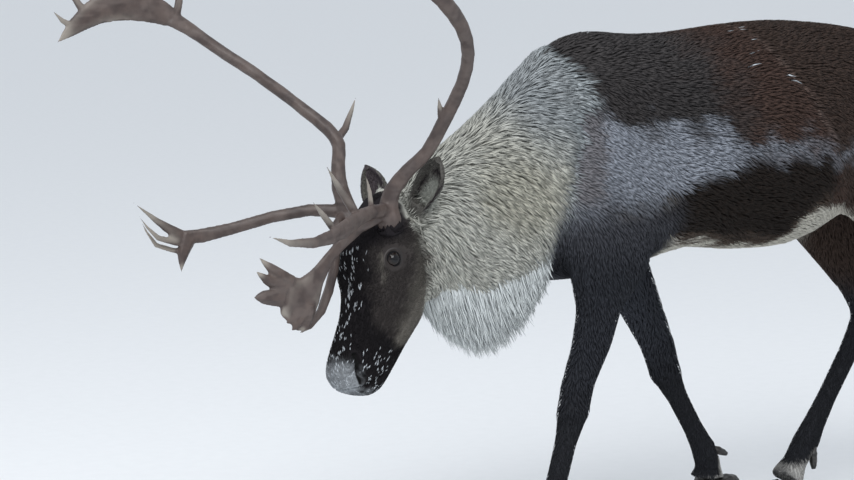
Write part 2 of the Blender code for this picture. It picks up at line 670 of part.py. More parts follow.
def ear(name, way):
    """A leaf-shaped ear with its cup open to the front."""
    base = Vector(EAR_BASE[way])
    along = Vector(EAR_TIP[way]) - base
    open_way = Vector(EAR_OPEN[way])
    open_way = (open_way - along * (along.dot(open_way) / along.length_squared)).normalized()
    across = along.cross(open_way).normalized()
    rows = []
    for t, wide, deep in EAR_FORM:
        bow = EAR_BOW * 4 * t * (1 - t)
        rows.append((*(base + along * t - open_way * bow), wide, deep))
    shell = branch(name, rows, across, sides=EAR_SIDES, steps=2)

    cup_rows = []
    start, end = EAR_CUP
    for i in range(CUP_STEPS + 1):
        t = start + (end - start) * i / CUP_STEPS
        x, y, z, wide, deep = between(rows, place_in(EAR_FORM, t))
        out = open_way * (EAR_WALL + deep * (CUP_DEEP - 1))
        cup_rows.append((*(Vector((x, y, z)) + out), wide - EAR_WALL, deep * CUP_DEEP))
    cup = branch("cup", cup_rows, across, sides=CUP_SIDES, steps=1)
    for obj in (shell, cup):
        obj.data.transform(HEAD)
    carved(shell, cup)
    remove(cup)
    return shell


def place_in(rows, value):
    """The fractional place at which the rows' first number has a value."""
    i = sum(row[0] <= value for row in rows) - 1
    i = min(i, len(rows) - 2)
    return i + (value - rows[i][0]) / (rows[i + 1][0] - rows[i][0])


def lock(root, way, outward, length, width, thick, bend):
    """A flat, tapered lock of hair with its flat side outward, bending as it hangs."""
    across = way.cross(outward).normalized()
    rows = []
    for t, wide in LOCK_FORM:
        spot = root + way * (length * t) + bend * (length * t * t)
        rows.append((*spot, width * wide / 2, thick * wide / 2))
    return branch("lock", rows, across, sides=LOCK_SIDES, steps=1)


def mane():
    """The throat mane's locks, hanging down and back from under the neck."""
    draw = random.Random(11)
    locks = []
    for rank in range(MANE_RANKS):
        along = rank / (MANE_RANKS - 1)
        row = between(NECK, MANE_FROM + (MANE_TO - MANE_FROM) * along)
        middle = Vector(((row[0] + row[2]) / 2, 0, (row[1] + row[3]) / 2))
        swell = math.sin(math.pi * (MANE_RISE + MANE_FALL * along))
        files = MANE_FILES - rank % 2
        for file in range(files):
            spread = MANE_SPREAD * (2 * file / (files - 1) - 1) * files / MANE_FILES
            spread += draw.uniform(-MANE_TURN, MANE_TURN)
            spot = flesh_point(row, math.pi + spread)
            outward = (spot - middle).normalized()
            length = MANE_SHORT + (MANE_LONG - MANE_SHORT) * swell
            length *= (1 - MANE_SIDE_LOSS * (spread / MANE_SPREAD) ** 2)
            length *= draw.uniform(*MANE_UNEVEN)
            stray = draw.uniform(-MANE_STRAY, MANE_STRAY)
            way = Vector((MANE_WAY[0], outward.y * MANE_WAY[1] + stray, MANE_WAY[2]))
            way = (way + outward * MANE_OPEN).normalized()
            wave = draw.uniform(-MANE_WAVE, MANE_WAVE)
            bend = Vector((MANE_BEND[0] + wave, outward.y * MANE_BEND[1], MANE_BEND[2]))
            root = spot - outward * ROOT_DEPTH + Vector((0, 0, ROOT_RISE * abs(outward.y)))
            width = LOCK_WIDE * draw.uniform(*LOCK_UNEVEN)
            locks.append(lock(root, way, outward, length + ROOT_DEPTH, width, LOCK_THICK, bend))
    return locks


def tail_locks():
    """Locks round the tail, along its lie and past its tip."""
    draw = random.Random(5)
    locks = []
    for i in range(TAIL_LOCKS):
        x, _, z, wide, thick = between(TAIL, TAIL_FROM + TAIL_OVER * i / (TAIL_LOCKS - 1))
        side = (-1, 0, 1)[i % 3]
        outward = Vector((TAIL_RISE[abs(side)], side, 0.1)).normalized()
        root = Vector((x, side * wide * TAIL_SEAT, z)) + outward * (thick * TAIL_SINK)
        way = Vector((TAIL_SPREAD, side * TAIL_SPREAD, -1.0)).normalized()
        length = TAIL_LOCK_LONG * draw.uniform(*TAIL_UNEVEN)
        locks.append(lock(root, way, outward, length, TAIL_LOCK_WIDE, TAIL_LOCK_THICK,
                          TAIL_BEND))
    return locks


# Antlers: lengths by rows of x, y, z, half breadth, half thickness
BEAM = {
    "left": [
        (*on_head(-0.514, -0.050, 0.712), 0.0190, 0.0185),
        (*on_head(-0.517, -0.053, 0.737), 0.0265, 0.0255),
        (*on_head(-0.517, -0.057, 0.760), 0.0200, 0.0190),
        (-0.506, -0.073, 0.798, 0.0170, 0.0165),
        (-0.485, -0.095, 0.838, 0.0150, 0.0140),
        (-0.459, -0.120, 0.873, 0.0140, 0.0130),
        (-0.450, -0.160, 0.933, 0.0150, 0.0130),
        (-0.454, -0.220, 1.008, 0.0135, 0.0125),
        (-0.479, -0.270, 1.069, 0.0135, 0.0125),
        (-0.526, -0.310, 1.123, 0.0145, 0.0120),
        (-0.594, -0.340, 1.176, 0.0165, 0.0110),
        (-0.670, -0.356, 1.225, 0.0200, 0.0095),
    ],
    "right": [
        (*on_head(-0.514, 0.050, 0.712), 0.0190, 0.0185),
        (*on_head(-0.517, 0.053, 0.737), 0.0265, 0.0255),
        (*on_head(-0.518, 0.055, 0.760), 0.0200, 0.0190),
        (-0.539, 0.050, 0.795, 0.0170, 0.0165),
        (-0.521, 0.080, 0.836, 0.0150, 0.0140),
        (-0.500, 0.106, 0.872, 0.0145, 0.0135),
        (-0.508, 0.132, 0.902, 0.0145, 0.0130),
        (-0.541, 0.180, 0.945, 0.0130, 0.0120),
        (-0.601, 0.230, 1.003, 0.0125, 0.0120),
        (-0.663, 0.280, 1.056, 0.0130, 0.0120),
        (-0.706, 0.310, 1.093, 0.0150, 0.0115),
        (-0.745, 0.322, 1.118, 0.0200, 0.0100),
    ],
}
LOW_FORK = 3.25                 # places along the beam above the lower tines and
HIGH_FORK = 10.3                # below the palm
FORK_SPAN = 0.2
BACK_TINE = {
    "left": [(-0.452, -0.158, 0.930, 0.010, 0.008), (-0.472, -0.176, 0.962, 0.006, 0.005),
             (-0.487, -0.190, 0.986, 0.0, 0.0)],
    "right": [(-0.507, 0.110, 0.876, 0.011, 0.009), (-0.464, 0.132, 0.902, 0.009, 0.007),
              (-0.436, 0.150, 0.932, 0.005, 0.005), (-0.417, 0.160, 0.960, 0.0, 0.0)],
}
PALM = {
    "left": [
        (-0.670, -0.356, 1.225, 0.0200, 0.0095), (-0.735, -0.362, 1.262, 0.030, 0.0085),
        (-0.810, -0.362, 1.292, 0.042, 0.0080), (-0.890, -0.350, 1.310, 0.044, 0.0075),
        (-0.955, -0.338, 1.300, 0.026, 0.0065), (-1.000, -0.330, 1.268, 0.0, 0.0),
    ],
    "right": [
        (-0.745, 0.322, 1.118, 0.0200, 0.0100), (-0.790, 0.330, 1.139, 0.030, 0.0090),
        (-0.845, 0.336, 1.150, 0.036, 0.0080), (-0.905, 0.338, 1.136, 0.028, 0.0075),
        (-0.960, 0.335, 1.106, 0.017, 0.0065), (-0.999, 0.330, 1.079, 0.0, 0.0),
    ],
}
PALM_TINES = {
    "left": [
        ((-0.705, -0.360, 1.250), (-0.700, -0.366, 1.330), (-0.715, -0.352, 1.405), 0.012),
        ((-0.790, -0.362, 1.300), (-0.800, -0.364, 1.385), (-0.825, -0.348, 1.460), 0.013),
        ((-0.860, -0.356, 1.320), (-0.885, -0.354, 1.390), (-0.920, -0.336, 1.450), 0.013),
        ((-0.915, -0.346, 1.315), (-0.965, -0.340, 1.365), (-1.015, -0.322, 1.395), 0.012),
    ],
    "right": [
        ((-0.735, 0.320, 1.115), (-0.716, 0.328, 1.180), (-0.722, 0.330, 1.255), 0.011),
        ((-0.815, 0.334, 1.150), (-0.820, 0.342, 1.235), (-0.842, 0.338, 1.320), 0.013),
        ((-0.885, 0.338, 1.145), (-0.905, 0.344, 1.215), (-0.942, 0.338, 1.285), 0.012),
        ((-0.925, 0.336, 1.125), (-0.955, 0.340, 1.165), (-0.985, 0.336, 1.215), 0.010),
        ((-0.955, 0.335, 1.108), (-0.985, 0.332, 1.120), (-1.009, 0.330, 1.142), 0.008),
    ],
}
BEZ = {
    "left": [
        (-0.508, -0.066, 0.760, 0.0120, 0.0115), (-0.528, -0.076, 0.762, 0.0140, 0.0115),
        (-0.583, -0.110, 0.766, 0.0145, 0.0110), (-0.641, -0.150, 0.764, 0.0165, 0.0095),
        (-0.713, -0.200, 0.752, 0.0190, 0.0080), (-0.769, -0.235, 0.745, 0.0150, 0.0075),
        (-0.830, -0.262, 0.741, 0.0110, 0.0065), (-0.900, -0.286, 0.748, 0.0070, 0.0050),
        (-0.956, -0.300, 0.765, 0.0, 0.0),
    ],
    "right": [
        (-0.526, 0.050, 0.748, 0.0120, 0.0115), (-0.545, 0.056, 0.750, 0.0140, 0.0115),
        (-0.583, 0.088, 0.752, 0.0125, 0.0110), (-0.643, 0.130, 0.739, 0.0120, 0.0100),
        (-0.712, 0.170, 0.717, 0.0125, 0.0090), (-0.764, 0.194, 0.705, 0.0150, 0.0080),
        (-0.803, 0.204, 0.704, 0.0150, 0.0070), (-0.855, 0.208, 0.738, 0.0070, 0.0055),
        (-0.909, 0.210, 0.778, 0.0, 0.0),
    ],
}
BEZ_TINES = {
    "left": [
        ((-0.585, -0.111, 0.770), (-0.590, -0.112, 0.806), (-0.600, -0.112, 0.840), 0.007),
        ((-0.650, -0.155, 0.765), (-0.704, -0.172, 0.822), (-0.750, -0.190, 0.873), 0.011),
        ((-0.745, -0.218, 0.748), (-0.790, -0.236, 0.786), (-0.825, -0.250, 0.816), 0.009),
    ],
    "right": [
        ((-0.793, 0.203, 0.692), (-0.857, 0.205, 0.707), (-0.900, 0.205, 0.752), 0.0085),
        ((-0.793, 0.206, 0.676), (-0.850, 0.222, 0.691), (-0.887, 0.222, 0.746), 0.0075),
        ((-0.784, 0.202, 0.708), (-0.801, 0.203, 0.672), (-0.806, 0.202, 0.637), 0.0190),
    ],
}
BROW = {
    "left": [
        (-0.512, -0.066, 0.754, 0.0120, 0.0110), (-0.540, -0.072, 0.752, 0.0145, 0.0105),
        (-0.585, -0.075, 0.736, 0.0150, 0.0095), (-0.628, -0.082, 0.712, 0.0140, 0.0085),
        (-0.665, -0.090, 0.687, 0.0125, 0.0080), (-0.698, -0.090, 0.649, 0.0210, 0.0076),
        (-0.714, -0.090, 0.626, 0.0345, 0.0074), (-0.7355, -0.090, 0.6156, 0.0550, 0.0072),
        (-0.750, -0.090, 0.602, 0.0610, 0.0068), (-0.765, -0.090, 0.592, 0.0490, 0.0060),
        (-0.782, -0.090, 0.584, 0.0, 0.0),
    ],
    "right": [
        (-0.528, 0.048, 0.744, 0.0110, 0.0105), (-0.560, 0.030, 0.730, 0.0125, 0.0095),
        (-0.590, -0.008, 0.692, 0.0130, 0.0090), (-0.614, -0.032, 0.655, 0.0150, 0.0095),
        (-0.631, -0.037, 0.612, 0.0180, 0.0100), (-0.652, -0.040, 0.574, 0.0160, 0.0090),
        (-0.680, -0.040, 0.549, 0.0110, 0.0070), (-0.702, -0.040, 0.537, 0.0, 0.0),
    ],
}
BROW_TINES = {
    "left": [
        ((-0.755, -0.090, 0.645), (-0.802, -0.090, 0.674), (-0.831, -0.090, 0.698), 0.015),
        ((-0.768, -0.090, 0.632), (-0.814, -0.090, 0.655), (-0.837, -0.090, 0.672), 0.015),
        ((-0.775, -0.090, 0.618), (-0.820, -0.090, 0.622), (-0.843, -0.090, 0.623), 0.020),
        ((-0.740, -0.090, 0.590), (-0.757, -0.090, 0.576), (-0.769, -0.090, 0.567), 0.016),
        ((-0.728, -0.090, 0.590), (-0.744, -0.090, 0.566), (-0.756, -0.090, 0.552), 0.018),
        ((-0.718, -0.090, 0.600), (-0.722, -0.090, 0.568), (-0.733, -0.090, 0.545), 0.019),
    ],
    "right": [],
}
TINE_FLAT = 0.62                # a tine's thickness to its breadth
FORWARD = (1.0, 0.0, 0.0)       # ways in which tines and palms are broad
UPRIGHT = (0.0, 0.0, 1.0)
DOWNWARD = (1.0, 0.0, -1.0)
ASLANT = (0.61, 0.78, 0.0)


def tine(root, middle, tip, half, broad_way):
    rows = [(*root, half, half * TINE_FLAT), (*middle, half * 0.72, half * 0.55), (*tip, 0, 0)]
    return branch("tine", rows, broad_way, sides=TINE_SIDES, steps=2)


def beam_cut(side, place):
    """A point of the beam and the direction in which it grows there."""
    point = Vector(between(BEAM[side], place)[:3])
    return point, Vector(between(BEAM[side], place + FORK_SPAN)[:3]) - point


def antler(side):
    """One antler as beam base, beam, palm, bez and brow, split at its main forks."""
    name = f"antler_{side}_"
    whole = [branch(name + "whole", BEAM[side], FORWARD, sides=BEAM_SIDES, steps=2),
             branch("palm_leaf", PALM[side], UPRIGHT, sides=BEAM_SIDES, steps=2),
             branch("back_tine", BACK_TINE[side], FORWARD, sides=TINE_SIDES, steps=1)]
    whole = fused(whole + [tine(*row, FORWARD) for row in PALM_TINES[side]])
    base, rest = parted(whole, name + "base", name + "rest", *beam_cut(side, LOW_FORK))
    beam, palm = parted(rest, name + "beam", name + "palm", *beam_cut(side, HIGH_FORK))
    bez = branch(name + "bez", BEZ[side], UPRIGHT, sides=BEAM_SIDES, steps=1)
    bez = fused([bez] + [tine(*row, FORWARD) for row in BEZ_TINES[side]])
    flat = UPRIGHT if side == "left" else ASLANT
    brow = branch(name + "brow", BROW[side], flat, sides=BEAM_SIDES, steps=1)
    if BROW_TINES[side]:
        brow = fused([brow] + [tine(*row, DOWNWARD) for row in BROW_TINES[side]])
    return {"base": base, "beam": beam, "palm": palm, "bez": bez, "brow": brow}


def build():
    """All sub-parts, and the material that each one has."""
    nodes = {}
    legs = {}
    flesh = [lofted("flesh", flesh_rings(drawn(TORSO, 2), BODY_SIDES)),
             lofted("neck_whole", flesh_rings(drawn(NECK, 1), BODY_SIDES)), skull_solid()]
    for leg in LEGS:
        whole = leg_solid(leg)
        point, down = knee_plane(leg)
        upper, legs[leg] = parted(whole, leg + "_upper", leg + "_lower", point, down)
        flesh.append(upper)
    for way in SIDES.values():
        rows = [(*on_head(x, way * y, z), size, size) for x, y, z, size in PEDICLE]
        flesh.append(branch("pedicle", rows, FORWARD, sides=PEDICLE_SIDES, steps=1))
    body = fused(flesh)

    for leg in LEGS:
        side = SIDES[LEGS[leg][0]]
        inside = side * BLOCK_INSIDE[leg[:4]]
        block = prism("block", BLOCKS[leg], inside, side * BLOCK_OUTSIDE)
        bigger = grown(block)
        upper = carved(copied(body, leg + "_upper"), block, "INTERSECT")
        carved(body, bigger)
        remove(block)
        remove(bigger)
        nodes[leg + "_upper"] = (upper, "hide")
        nodes[leg + "_lower"] = (legs[leg], "hide")
    front, torso = parted(body, "front", "torso", *NECK_CUT)
    head, neck = parted(front, "head", "neck", *HEAD_CUT)

    for part, way in (("outer", 1), ("inner", -1)):
        for leg in LEGS:
            side = SIDES[LEGS[leg][0]]
            hoof = claw(leg, part, way * side)
            seat(legs[leg], hoof)
            nodes[hoof.name] = (hoof, "horn")
            small = dewclaw(leg, part, way * side)
            seat(legs[leg], small)
            nodes[small.name] = (small, "horn")

    tail = fused([branch("tail", TAIL, (0, 1, 0), sides=10, steps=1)] + tail_locks())
    seat(torso, tail)
    neck = fused([neck] + mane())
    for near in (head, torso, nodes["fore_left_upper"][0], nodes["fore_right_upper"][0]):
        trim(neck, near)

    head = fused([head] + [eye_lids(way) for way in SIDES.values()])
    for side, way in SIDES.items():
        ball = eyeball(f"eye_{side}", way)
        seat(head, ball)
        nodes[ball.name] = (ball, "eye")
        leaf = ear(f"ear_{side}", way)
        for host in (head, neck):
            seat(host, leaf)
        nodes[leaf.name] = (leaf, "hide")
        hole = nostril(way)
        carved(head, hole)
        remove(hole)
        parts = antler(side)
        seat(head, parts["base"])
        for tine_name in ("bez", "brow"):
            seat(parts[tine_name], parts["base"])
        seat(parts["brow"], parts["bez"])
        for part in parts.values():
            nodes[part.name] = (part, "antler")
    slit = mouth_slit()
    carved(head, slit)
    remove(slit)

    nodes["head"] = (head, "hide")
    nodes["neck"] = (neck, "cape")
    nodes["torso"] = (torso, "hide")
    nodes["tail"] = (tail, "cape")
    return nodes


def box_middle(points):
    """The middle of the box round some points."""
    low = Vector([min(p[k] for p in points) for k in range(3)])
    high = Vector([max(p[k] for p in points) for k in range(3)])
    return (low + high) / 2


def main():
    for obj in list(bpy.data.objects):
        remove(obj)
    nodes = build()
    middle = box_middle([vert.co for obj, _ in nodes.values() for vert in obj.data.vertices])
    middle.z = 0.0
    animal = bpy.data.objects.new("reindeer", None)
    bpy.context.scene.collection.objects.link(animal)
    for name, (obj, look) in nodes.items():
        obj.name = name
        obj.data.name = name
        own = box_middle([vert.co for vert in obj.data.vertices])
        obj.data.transform(Matrix.Translation(-own))
        obj.location = own - middle
        obj.parent = animal
        obj.data.materials.clear()
        obj.data.materials.append(finish(name + "_finish", *LOOKS[look]))
        obj.data.shade_smooth()
        obj.data.set_sharp_from_angle(angle=math.radians(CREASE))


main()
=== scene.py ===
"""Dresses the reindeer: one skin with its coat, mane and tail, eyes, antlers and hooves.

Metres, +Z up. The animal faces -X and its left side is at -Y.
"""

import heapq
import math

import bmesh
import bpy
import numpy as np
from bpy.props import FloatProperty, FloatVectorProperty, IntProperty, PointerProperty
from mathutils import Matrix, Vector
from mathutils.bvhtree import BVHTree


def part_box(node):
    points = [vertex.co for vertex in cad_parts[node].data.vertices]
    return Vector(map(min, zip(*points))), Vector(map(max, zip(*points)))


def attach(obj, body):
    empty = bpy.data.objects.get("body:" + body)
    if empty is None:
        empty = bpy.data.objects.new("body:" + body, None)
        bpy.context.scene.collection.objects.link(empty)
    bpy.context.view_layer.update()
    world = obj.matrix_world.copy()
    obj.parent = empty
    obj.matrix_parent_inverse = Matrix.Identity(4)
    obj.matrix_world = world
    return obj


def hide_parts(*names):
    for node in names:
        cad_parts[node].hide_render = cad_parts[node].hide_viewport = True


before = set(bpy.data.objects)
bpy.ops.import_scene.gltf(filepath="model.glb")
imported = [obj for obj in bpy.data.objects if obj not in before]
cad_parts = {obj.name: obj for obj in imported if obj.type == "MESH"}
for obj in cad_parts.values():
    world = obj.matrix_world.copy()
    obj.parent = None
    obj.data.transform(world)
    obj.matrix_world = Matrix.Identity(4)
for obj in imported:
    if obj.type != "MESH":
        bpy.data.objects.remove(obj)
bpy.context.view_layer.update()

bl_info = {
    "name": "Museum Reindeer",
    "version": (1, 0, 0),
    "blender": (4, 5, 0),
    "location": "3D View > Sidebar > Reindeer",
    "description": "Gives a life-size reindeer its skin, coat, eyes, antlers and hooves",
    "category": "Object",
}

SIDES = {"left": -1, "right": 1}
LEGS = ("fore_left", "fore_right", "hind_left", "hind_right")

# The head's own frame, from the way in which the neck turns and tilts it
POLL = Vector((-0.40, 0.0, 0.70))
HEAD_TURN = math.radians(8)
HEAD_TILT = math.radians(-7)
TURNED = (Matrix.Translation(POLL) @ Matrix.Rotation(HEAD_TURN, 4, "Z")
          @ Matrix.Rotation(HEAD_TILT, 4, "X") @ Matrix.Translation(-POLL))
EYE = Vector((-0.522, 0.0565, 0.660))
EYE_SIZE = 0.0185
EYE_LOOK = (-0.42, 0.90, 0.05)      # front, side, up
EYE_REAR = (0.62, 0.0, 0.72)        # from the front corner of the lids to the rear one


def middle(node):
    """The middle of a node's box."""
    low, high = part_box(node)
    return (low + high) / 2


HOME = middle("eye_left") - TURNED @ Vector((EYE.x, -EYE.y, EYE.z))
TO_HEAD = TURNED.inverted() @ Matrix.Translation(-HOME)
FROM_HEAD = TO_HEAD.inverted()

EYE_BARE = (0.027, 0.021)           # away from an eye's axis, where the coat begins and ends
EYE_CLEAR = 0.0035                  # how far the skin stays under the eyeball
SOCKET = (0.0225, 0.0175)
BASE_BARE = (0.050, 0.040)
HEAD_TO_NECK = (-0.402, -0.452)     # across the cut behind the skull, neck to head
BODY_UNDER = (-0.402, -0.432, 0.009)    # where the body's skin runs on under the head's
HEAD_UNDER = (-0.445, -0.408, 0.8)  # and where the head's sinks, as a share of the neck's coat
SEAM_MIDDLE, SEAM_FAR, SEAM_NEAR = -0.425, 0.034, 0.012
SEAM_ROUNDS = 14
NOSTRIL_DEEP = 0.009
EAR_SEAT, EAR_SINK = 0.003, 0.014   # what lies this near the head goes this far in
EAR_SHARE = 0.25
TAIL_DEPTH, EAR_DEPTH = 0.008, 0.0006
THIGH_SHARE = 0.8                   # the thigh's coat depth as a share of the trunk's

# The neck without its mane: top x, z; bottom x, z; half width; narrowing towards the top
NECK = [
    (0.060, 1.020, 0.020, 0.660, 0.120, 0.10),
    (-0.056, 1.056, -0.085, 0.604, 0.129, 0.36),
    (-0.121, 1.023, -0.150, 0.566, 0.128, 0.36),
    (-0.189, 0.966, -0.215, 0.532, 0.122, 0.30),
    (-0.275, 0.904, -0.285, 0.526, 0.113, 0.24),
    (-0.344, 0.862, -0.345, 0.548, 0.102, 0.14),
    (-0.405, 0.830, -0.385, 0.582, 0.088, 0.04),
    (-0.455, 0.800, -0.405, 0.615, 0.066, 0.0),
]
EAR_CELL = 0.0013
NECK_SIDES = 40
NECK_STEPS = 6


def size(name, description, metres):
    """A length that can be set."""
    return FloatProperty(name=name, description=description, default=metres, unit="LENGTH")


class SkinSizes(bpy.types.PropertyGroup):
    """Sizes of the skin under the coat."""

    body_cell: size("Body cell", "Size of the body skin's faces", 0.0078)
    head_cell: size("Head cell", "Size of the head skin's faces before they are thinned", 0.0021)
    head_share: FloatProperty(
        name="Head share", description="Share of the head's faces that are kept",
        default=0.30, subtype="FACTOR")
    trunk_depth: size("Trunk coat depth", "Depth of the coat on the trunk", 0.009)
    neck_depth: size("Neck coat depth", "Depth of the coat on the neck", 0.012)
    leg_depth: size("Leg coat depth", "Depth of the coat below knee and hock", 0.003)
    head_depth: size("Face coat depth", "Depth of the coat on the face", 0.002)


class CoatSizes(bpy.types.PropertyGroup):
    """Sizes of the tufts and long locks."""

    trunk_hair: size("Trunk hair", "Length of the tufts on back and flanks", 0.034)
    neck_hair: size("Neck hair", "Length of the tufts on the neck", 0.052)
    thigh_hair: size("Thigh hair", "Length of the tufts on shoulder and thigh", 0.026)
    leg_hair: size("Leg hair", "Length of the tufts below knee and hock", 0.014)
    face_hair: size("Face hair", "Length of the tufts on the face", 0.009)
    mane_locks: IntProperty(
        name="Mane locks", description="Number of locks in the throat mane", default=5200)
    mane_hair: size("Mane hair", "Greatest length of the throat mane", 0.098)


def tone(name, description, *colour):
    """A colour that can be set."""
    return FloatVectorProperty(name=name, description=description, default=colour,
                               subtype="COLOR")


class CoatColours(bpy.types.PropertyGroup):
    """Colours of the coat's markings."""

    cape: tone("Cape", "Neck and shoulder cape", 0.42, 0.42, 0.38)
    nape: tone("Nape", "Greyer hair on top of the neck", 0.28, 0.30, 0.31)
    mane: tone("Mane", "Throat mane", 0.56, 0.59, 0.59)
    back: tone("Back", "Withers and back", 0.050, 0.046, 0.046)
    rump: tone("Croup", "Reddish hair on the croup", 0.058, 0.036, 0.029)
    # The croup's reddish hair darkened as painted shade behind the hip ridge, where the thigh turns
    # away from the light
    haunch: tone("Haunch", "Hair behind the crease of the flank", 0.046, 0.031, 0.025)
    band: tone("Flank band", "Pale band along the flank", 0.25, 0.27, 0.31)
    patch: tone("Shoulder stripe", "Brownish stripe behind the cape", 0.150, 0.142, 0.150)
    fawn: tone("Under the band", "Fawn hair below the band, by the shoulder",
               0.150, 0.135, 0.115)
    flank: tone("Lower flank", "Dark patch below the band", 0.015, 0.011, 0.009)
    tan: tone("Edge of the belly", "Tan line over the belly", 0.075, 0.056, 0.044)
    belly: tone("Belly", "Belly and groin", 0.52, 0.50, 0.44)
    # This paler, bluish tone is a painted sheen of the sky's light on the dark hair over the
    # forearm and elbow
    shoulder: tone("Shoulder", "Bluish hair over the forearm", 0.070, 0.072, 0.084)
    leg: tone("Legs", "Legs down to the hooves", 0.024, 0.026, 0.032)
    sock: tone("Pastern ring", "White ring above the hooves", 0.45, 0.44, 0.42)
    blaze: tone("Face front", "Nose bridge and muzzle", 0.007, 0.006, 0.007)
    cheek: tone("Cheek", "Side of the face", 0.030, 0.026, 0.025)
    jaw: tone("Jaw", "Back of the cheek and the jaw", 0.072, 0.066, 0.058)
    ear: tone("Ear", "Outside of the ears", 0.100, 0.096, 0.086)
    ear_lip: tone("Ear's rim", "Pale rear rim of the ears", 0.30, 0.31, 0.28)
    ear_cup: tone("Ear's cup", "Inside of the ears", 0.060, 0.050, 0.055)
    frost: tone("Frost", "Frosted hair on the nose", 0.62, 0.66, 0.70)


class StageSizes(bpy.types.PropertyGroup):
    """Places of the camera and the lights."""

    azimuth: FloatProperty(
        name="Azimuth", description="Way round the animal that the camera looks from",
        default=math.radians(-38), subtype="ANGLE")
    elevation: FloatProperty(
        name="Elevation", description="Height of the camera's view",
        default=math.radians(7), subtype="ANGLE")
    from_eye: FloatVectorProperty(
        name="From the eye", description="Camera's place, from the left eye",
        default=(-4.10567, -5.36598, 0.86675), subtype="XYZ")
    lens: FloatProperty(name="Lens", description="Focal length in millimetres", default=150.49)
    key_light: FloatProperty(
        name="Key light", description="Power of the large soft light", default=330.0,
        unit="POWER")


def between(rows, place):
    """The row of numbers at a fractional place, on a smooth curve through the rows."""
    last = len(rows) - 1
    i = min(int(place), last - 1)
    t = place - i
    near = (rows[max(i - 1, 0)], rows[i], rows[i + 1], rows[min(i + 2, last)])
    return [0.5 * (2 * b + (c - a) * t + (2 * a - 5 * b + 4 * c - d) * t * t
                   + (3 * b - a - 3 * c + d) * t ** 3) for a, b, c, d in zip(*near)]


def neck_point(place, turn):
    """A point on the neck; turn 0 is on top of it, pi is under it."""
    top_x, top_z, low_x, low_z, half, narrow = between(NECK, place)
    along = math.cos(turn)
    half *= 1 - narrow * along
    return HOME + Vector(((top_x + low_x) / 2 + (top_x - low_x) / 2 * along,
                          math.sin(turn) * half,
                          (top_z + low_z) / 2 + (top_z - low_z) / 2 * along))


# Numbers for whole arrays of points

def unit(vectors):
    return vectors / np.maximum(np.linalg.norm(vectors, axis=-1, keepdims=True), 1e-9)


def ramp(values, start, end):
    """0 before start, 1 after end, smooth between; start may be the larger."""
    t = np.clip((values - start) / (end - start), 0.0, 1.0)
    return t * t * (3 - 2 * t)


def waves(points, size, seed, count=10):
    """Smooth noise of about -1 to 1 with features of a size, the same on each run."""
    draw = np.random.default_rng(seed)
    ways = unit(draw.normal(size=(count, 3))) * (math.tau / size)
    ways *= draw.uniform(0.6, 1.5, (count, 1))
    phases = draw.uniform(0, math.tau, count)
    return np.sin(points @ ways.T + phases).sum(axis=1) * math.sqrt(2 / count) * 0.6


def moved(matrix, points):
    """The points, each moved by a 4 x 4 matrix."""
    grid = np.array(matrix)
    return points @ grid[:3, :3].T + grid[:3, 3]


def mix(one, two, share):
    return one + (two - one) * share[:, None]


# Blender objects

def select_only(obj):
    bpy.ops.object.select_all(action="DESELECT")
    obj.select_set(True)
    bpy.context.view_layer.objects.active = obj


def linked(name, mesh):
    """A new object in the scene with a mesh."""
    obj = bpy.data.objects.new(name, mesh)
    bpy.context.scene.collection.objects.link(obj)
    return obj


def copy_nodes(name, nodes):
    """One object from copies of CAD nodes, with their loose triangles merged."""
    bm = bmesh.new()
    for node in nodes:
        bm.from_mesh(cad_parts[node].data)
    bmesh.ops.remove_doubles(bm, verts=bm.verts[:], dist=0.00001)
    mesh = bpy.data.meshes.new(name)
    bm.to_mesh(mesh)
    bm.free()
    return linked(name, mesh)


def neck_loft():
    """The neck as a closed form from trunk to skull, without its mane."""
    bm = bmesh.new()
    rings = []
    for i in range((len(NECK) - 1) * NECK_STEPS + 1):
        rings.append([bm.verts.new(neck_point(i / NECK_STEPS, math.tau * k / NECK_SIDES))
                      for k in range(NECK_SIDES)])
    for one, two in zip(rings, rings[1:]):
        for k in range(NECK_SIDES):
            bm.faces.new((one[k - 1], one[k], two[k], two[k - 1]))
    bm.faces.new(rings[0])
    bm.faces.new(rings[-1])
    bmesh.ops.recalc_face_normals(bm, faces=bm.faces)
    mesh = bpy.data.meshes.new("neck_form")
    bm.to_mesh(mesh)
    bm.free()
    return linked("neck_form", mesh)


def joined(objects):
    select_only(objects[0])
    for obj in objects[1:]:
        obj.select_set(True)
    bpy.ops.object.join()
    return objects[0]


def remeshed(obj, cell):
    """The object's outer surface as even faces of one size."""
    select_only(obj)
    obj.data.remesh_voxel_size = cell
    obj.data.remesh_voxel_adaptivity = 0.0
    bpy.ops.object.voxel_remesh()
    return obj


def with_modifier(obj, kind, **settings):
    """The object with one modifier added and applied."""
    select_only(obj)
    modifier = obj.modifiers.new(kind.lower(), kind)
    for name, value in settings.items():
        setattr(modifier, name, value)
    bpy.ops.object.modifier_apply(modifier=modifier.name)
    return obj


def points_of(obj):
    co = np.empty(len(obj.data.vertices) * 3)
    obj.data.vertices.foreach_get("co", co)
    return co.reshape(-1, 3)


def normals_of(obj):
    out = np.empty(len(obj.data.vertices) * 3)
    obj.data.vertices.foreach_get("normal", out)
    return out.reshape(-1, 3)


def set_points(obj, points):
    obj.data.vertices.foreach_set("co", np.ascontiguousarray(points, np.float32).ravel())
    obj.data.update()


def edges_of(obj):
    ends = np.empty(len(obj.data.edges) * 2, np.int32)
    obj.data.edges.foreach_get("vertices", ends)
    return ends.reshape(-1, 2)


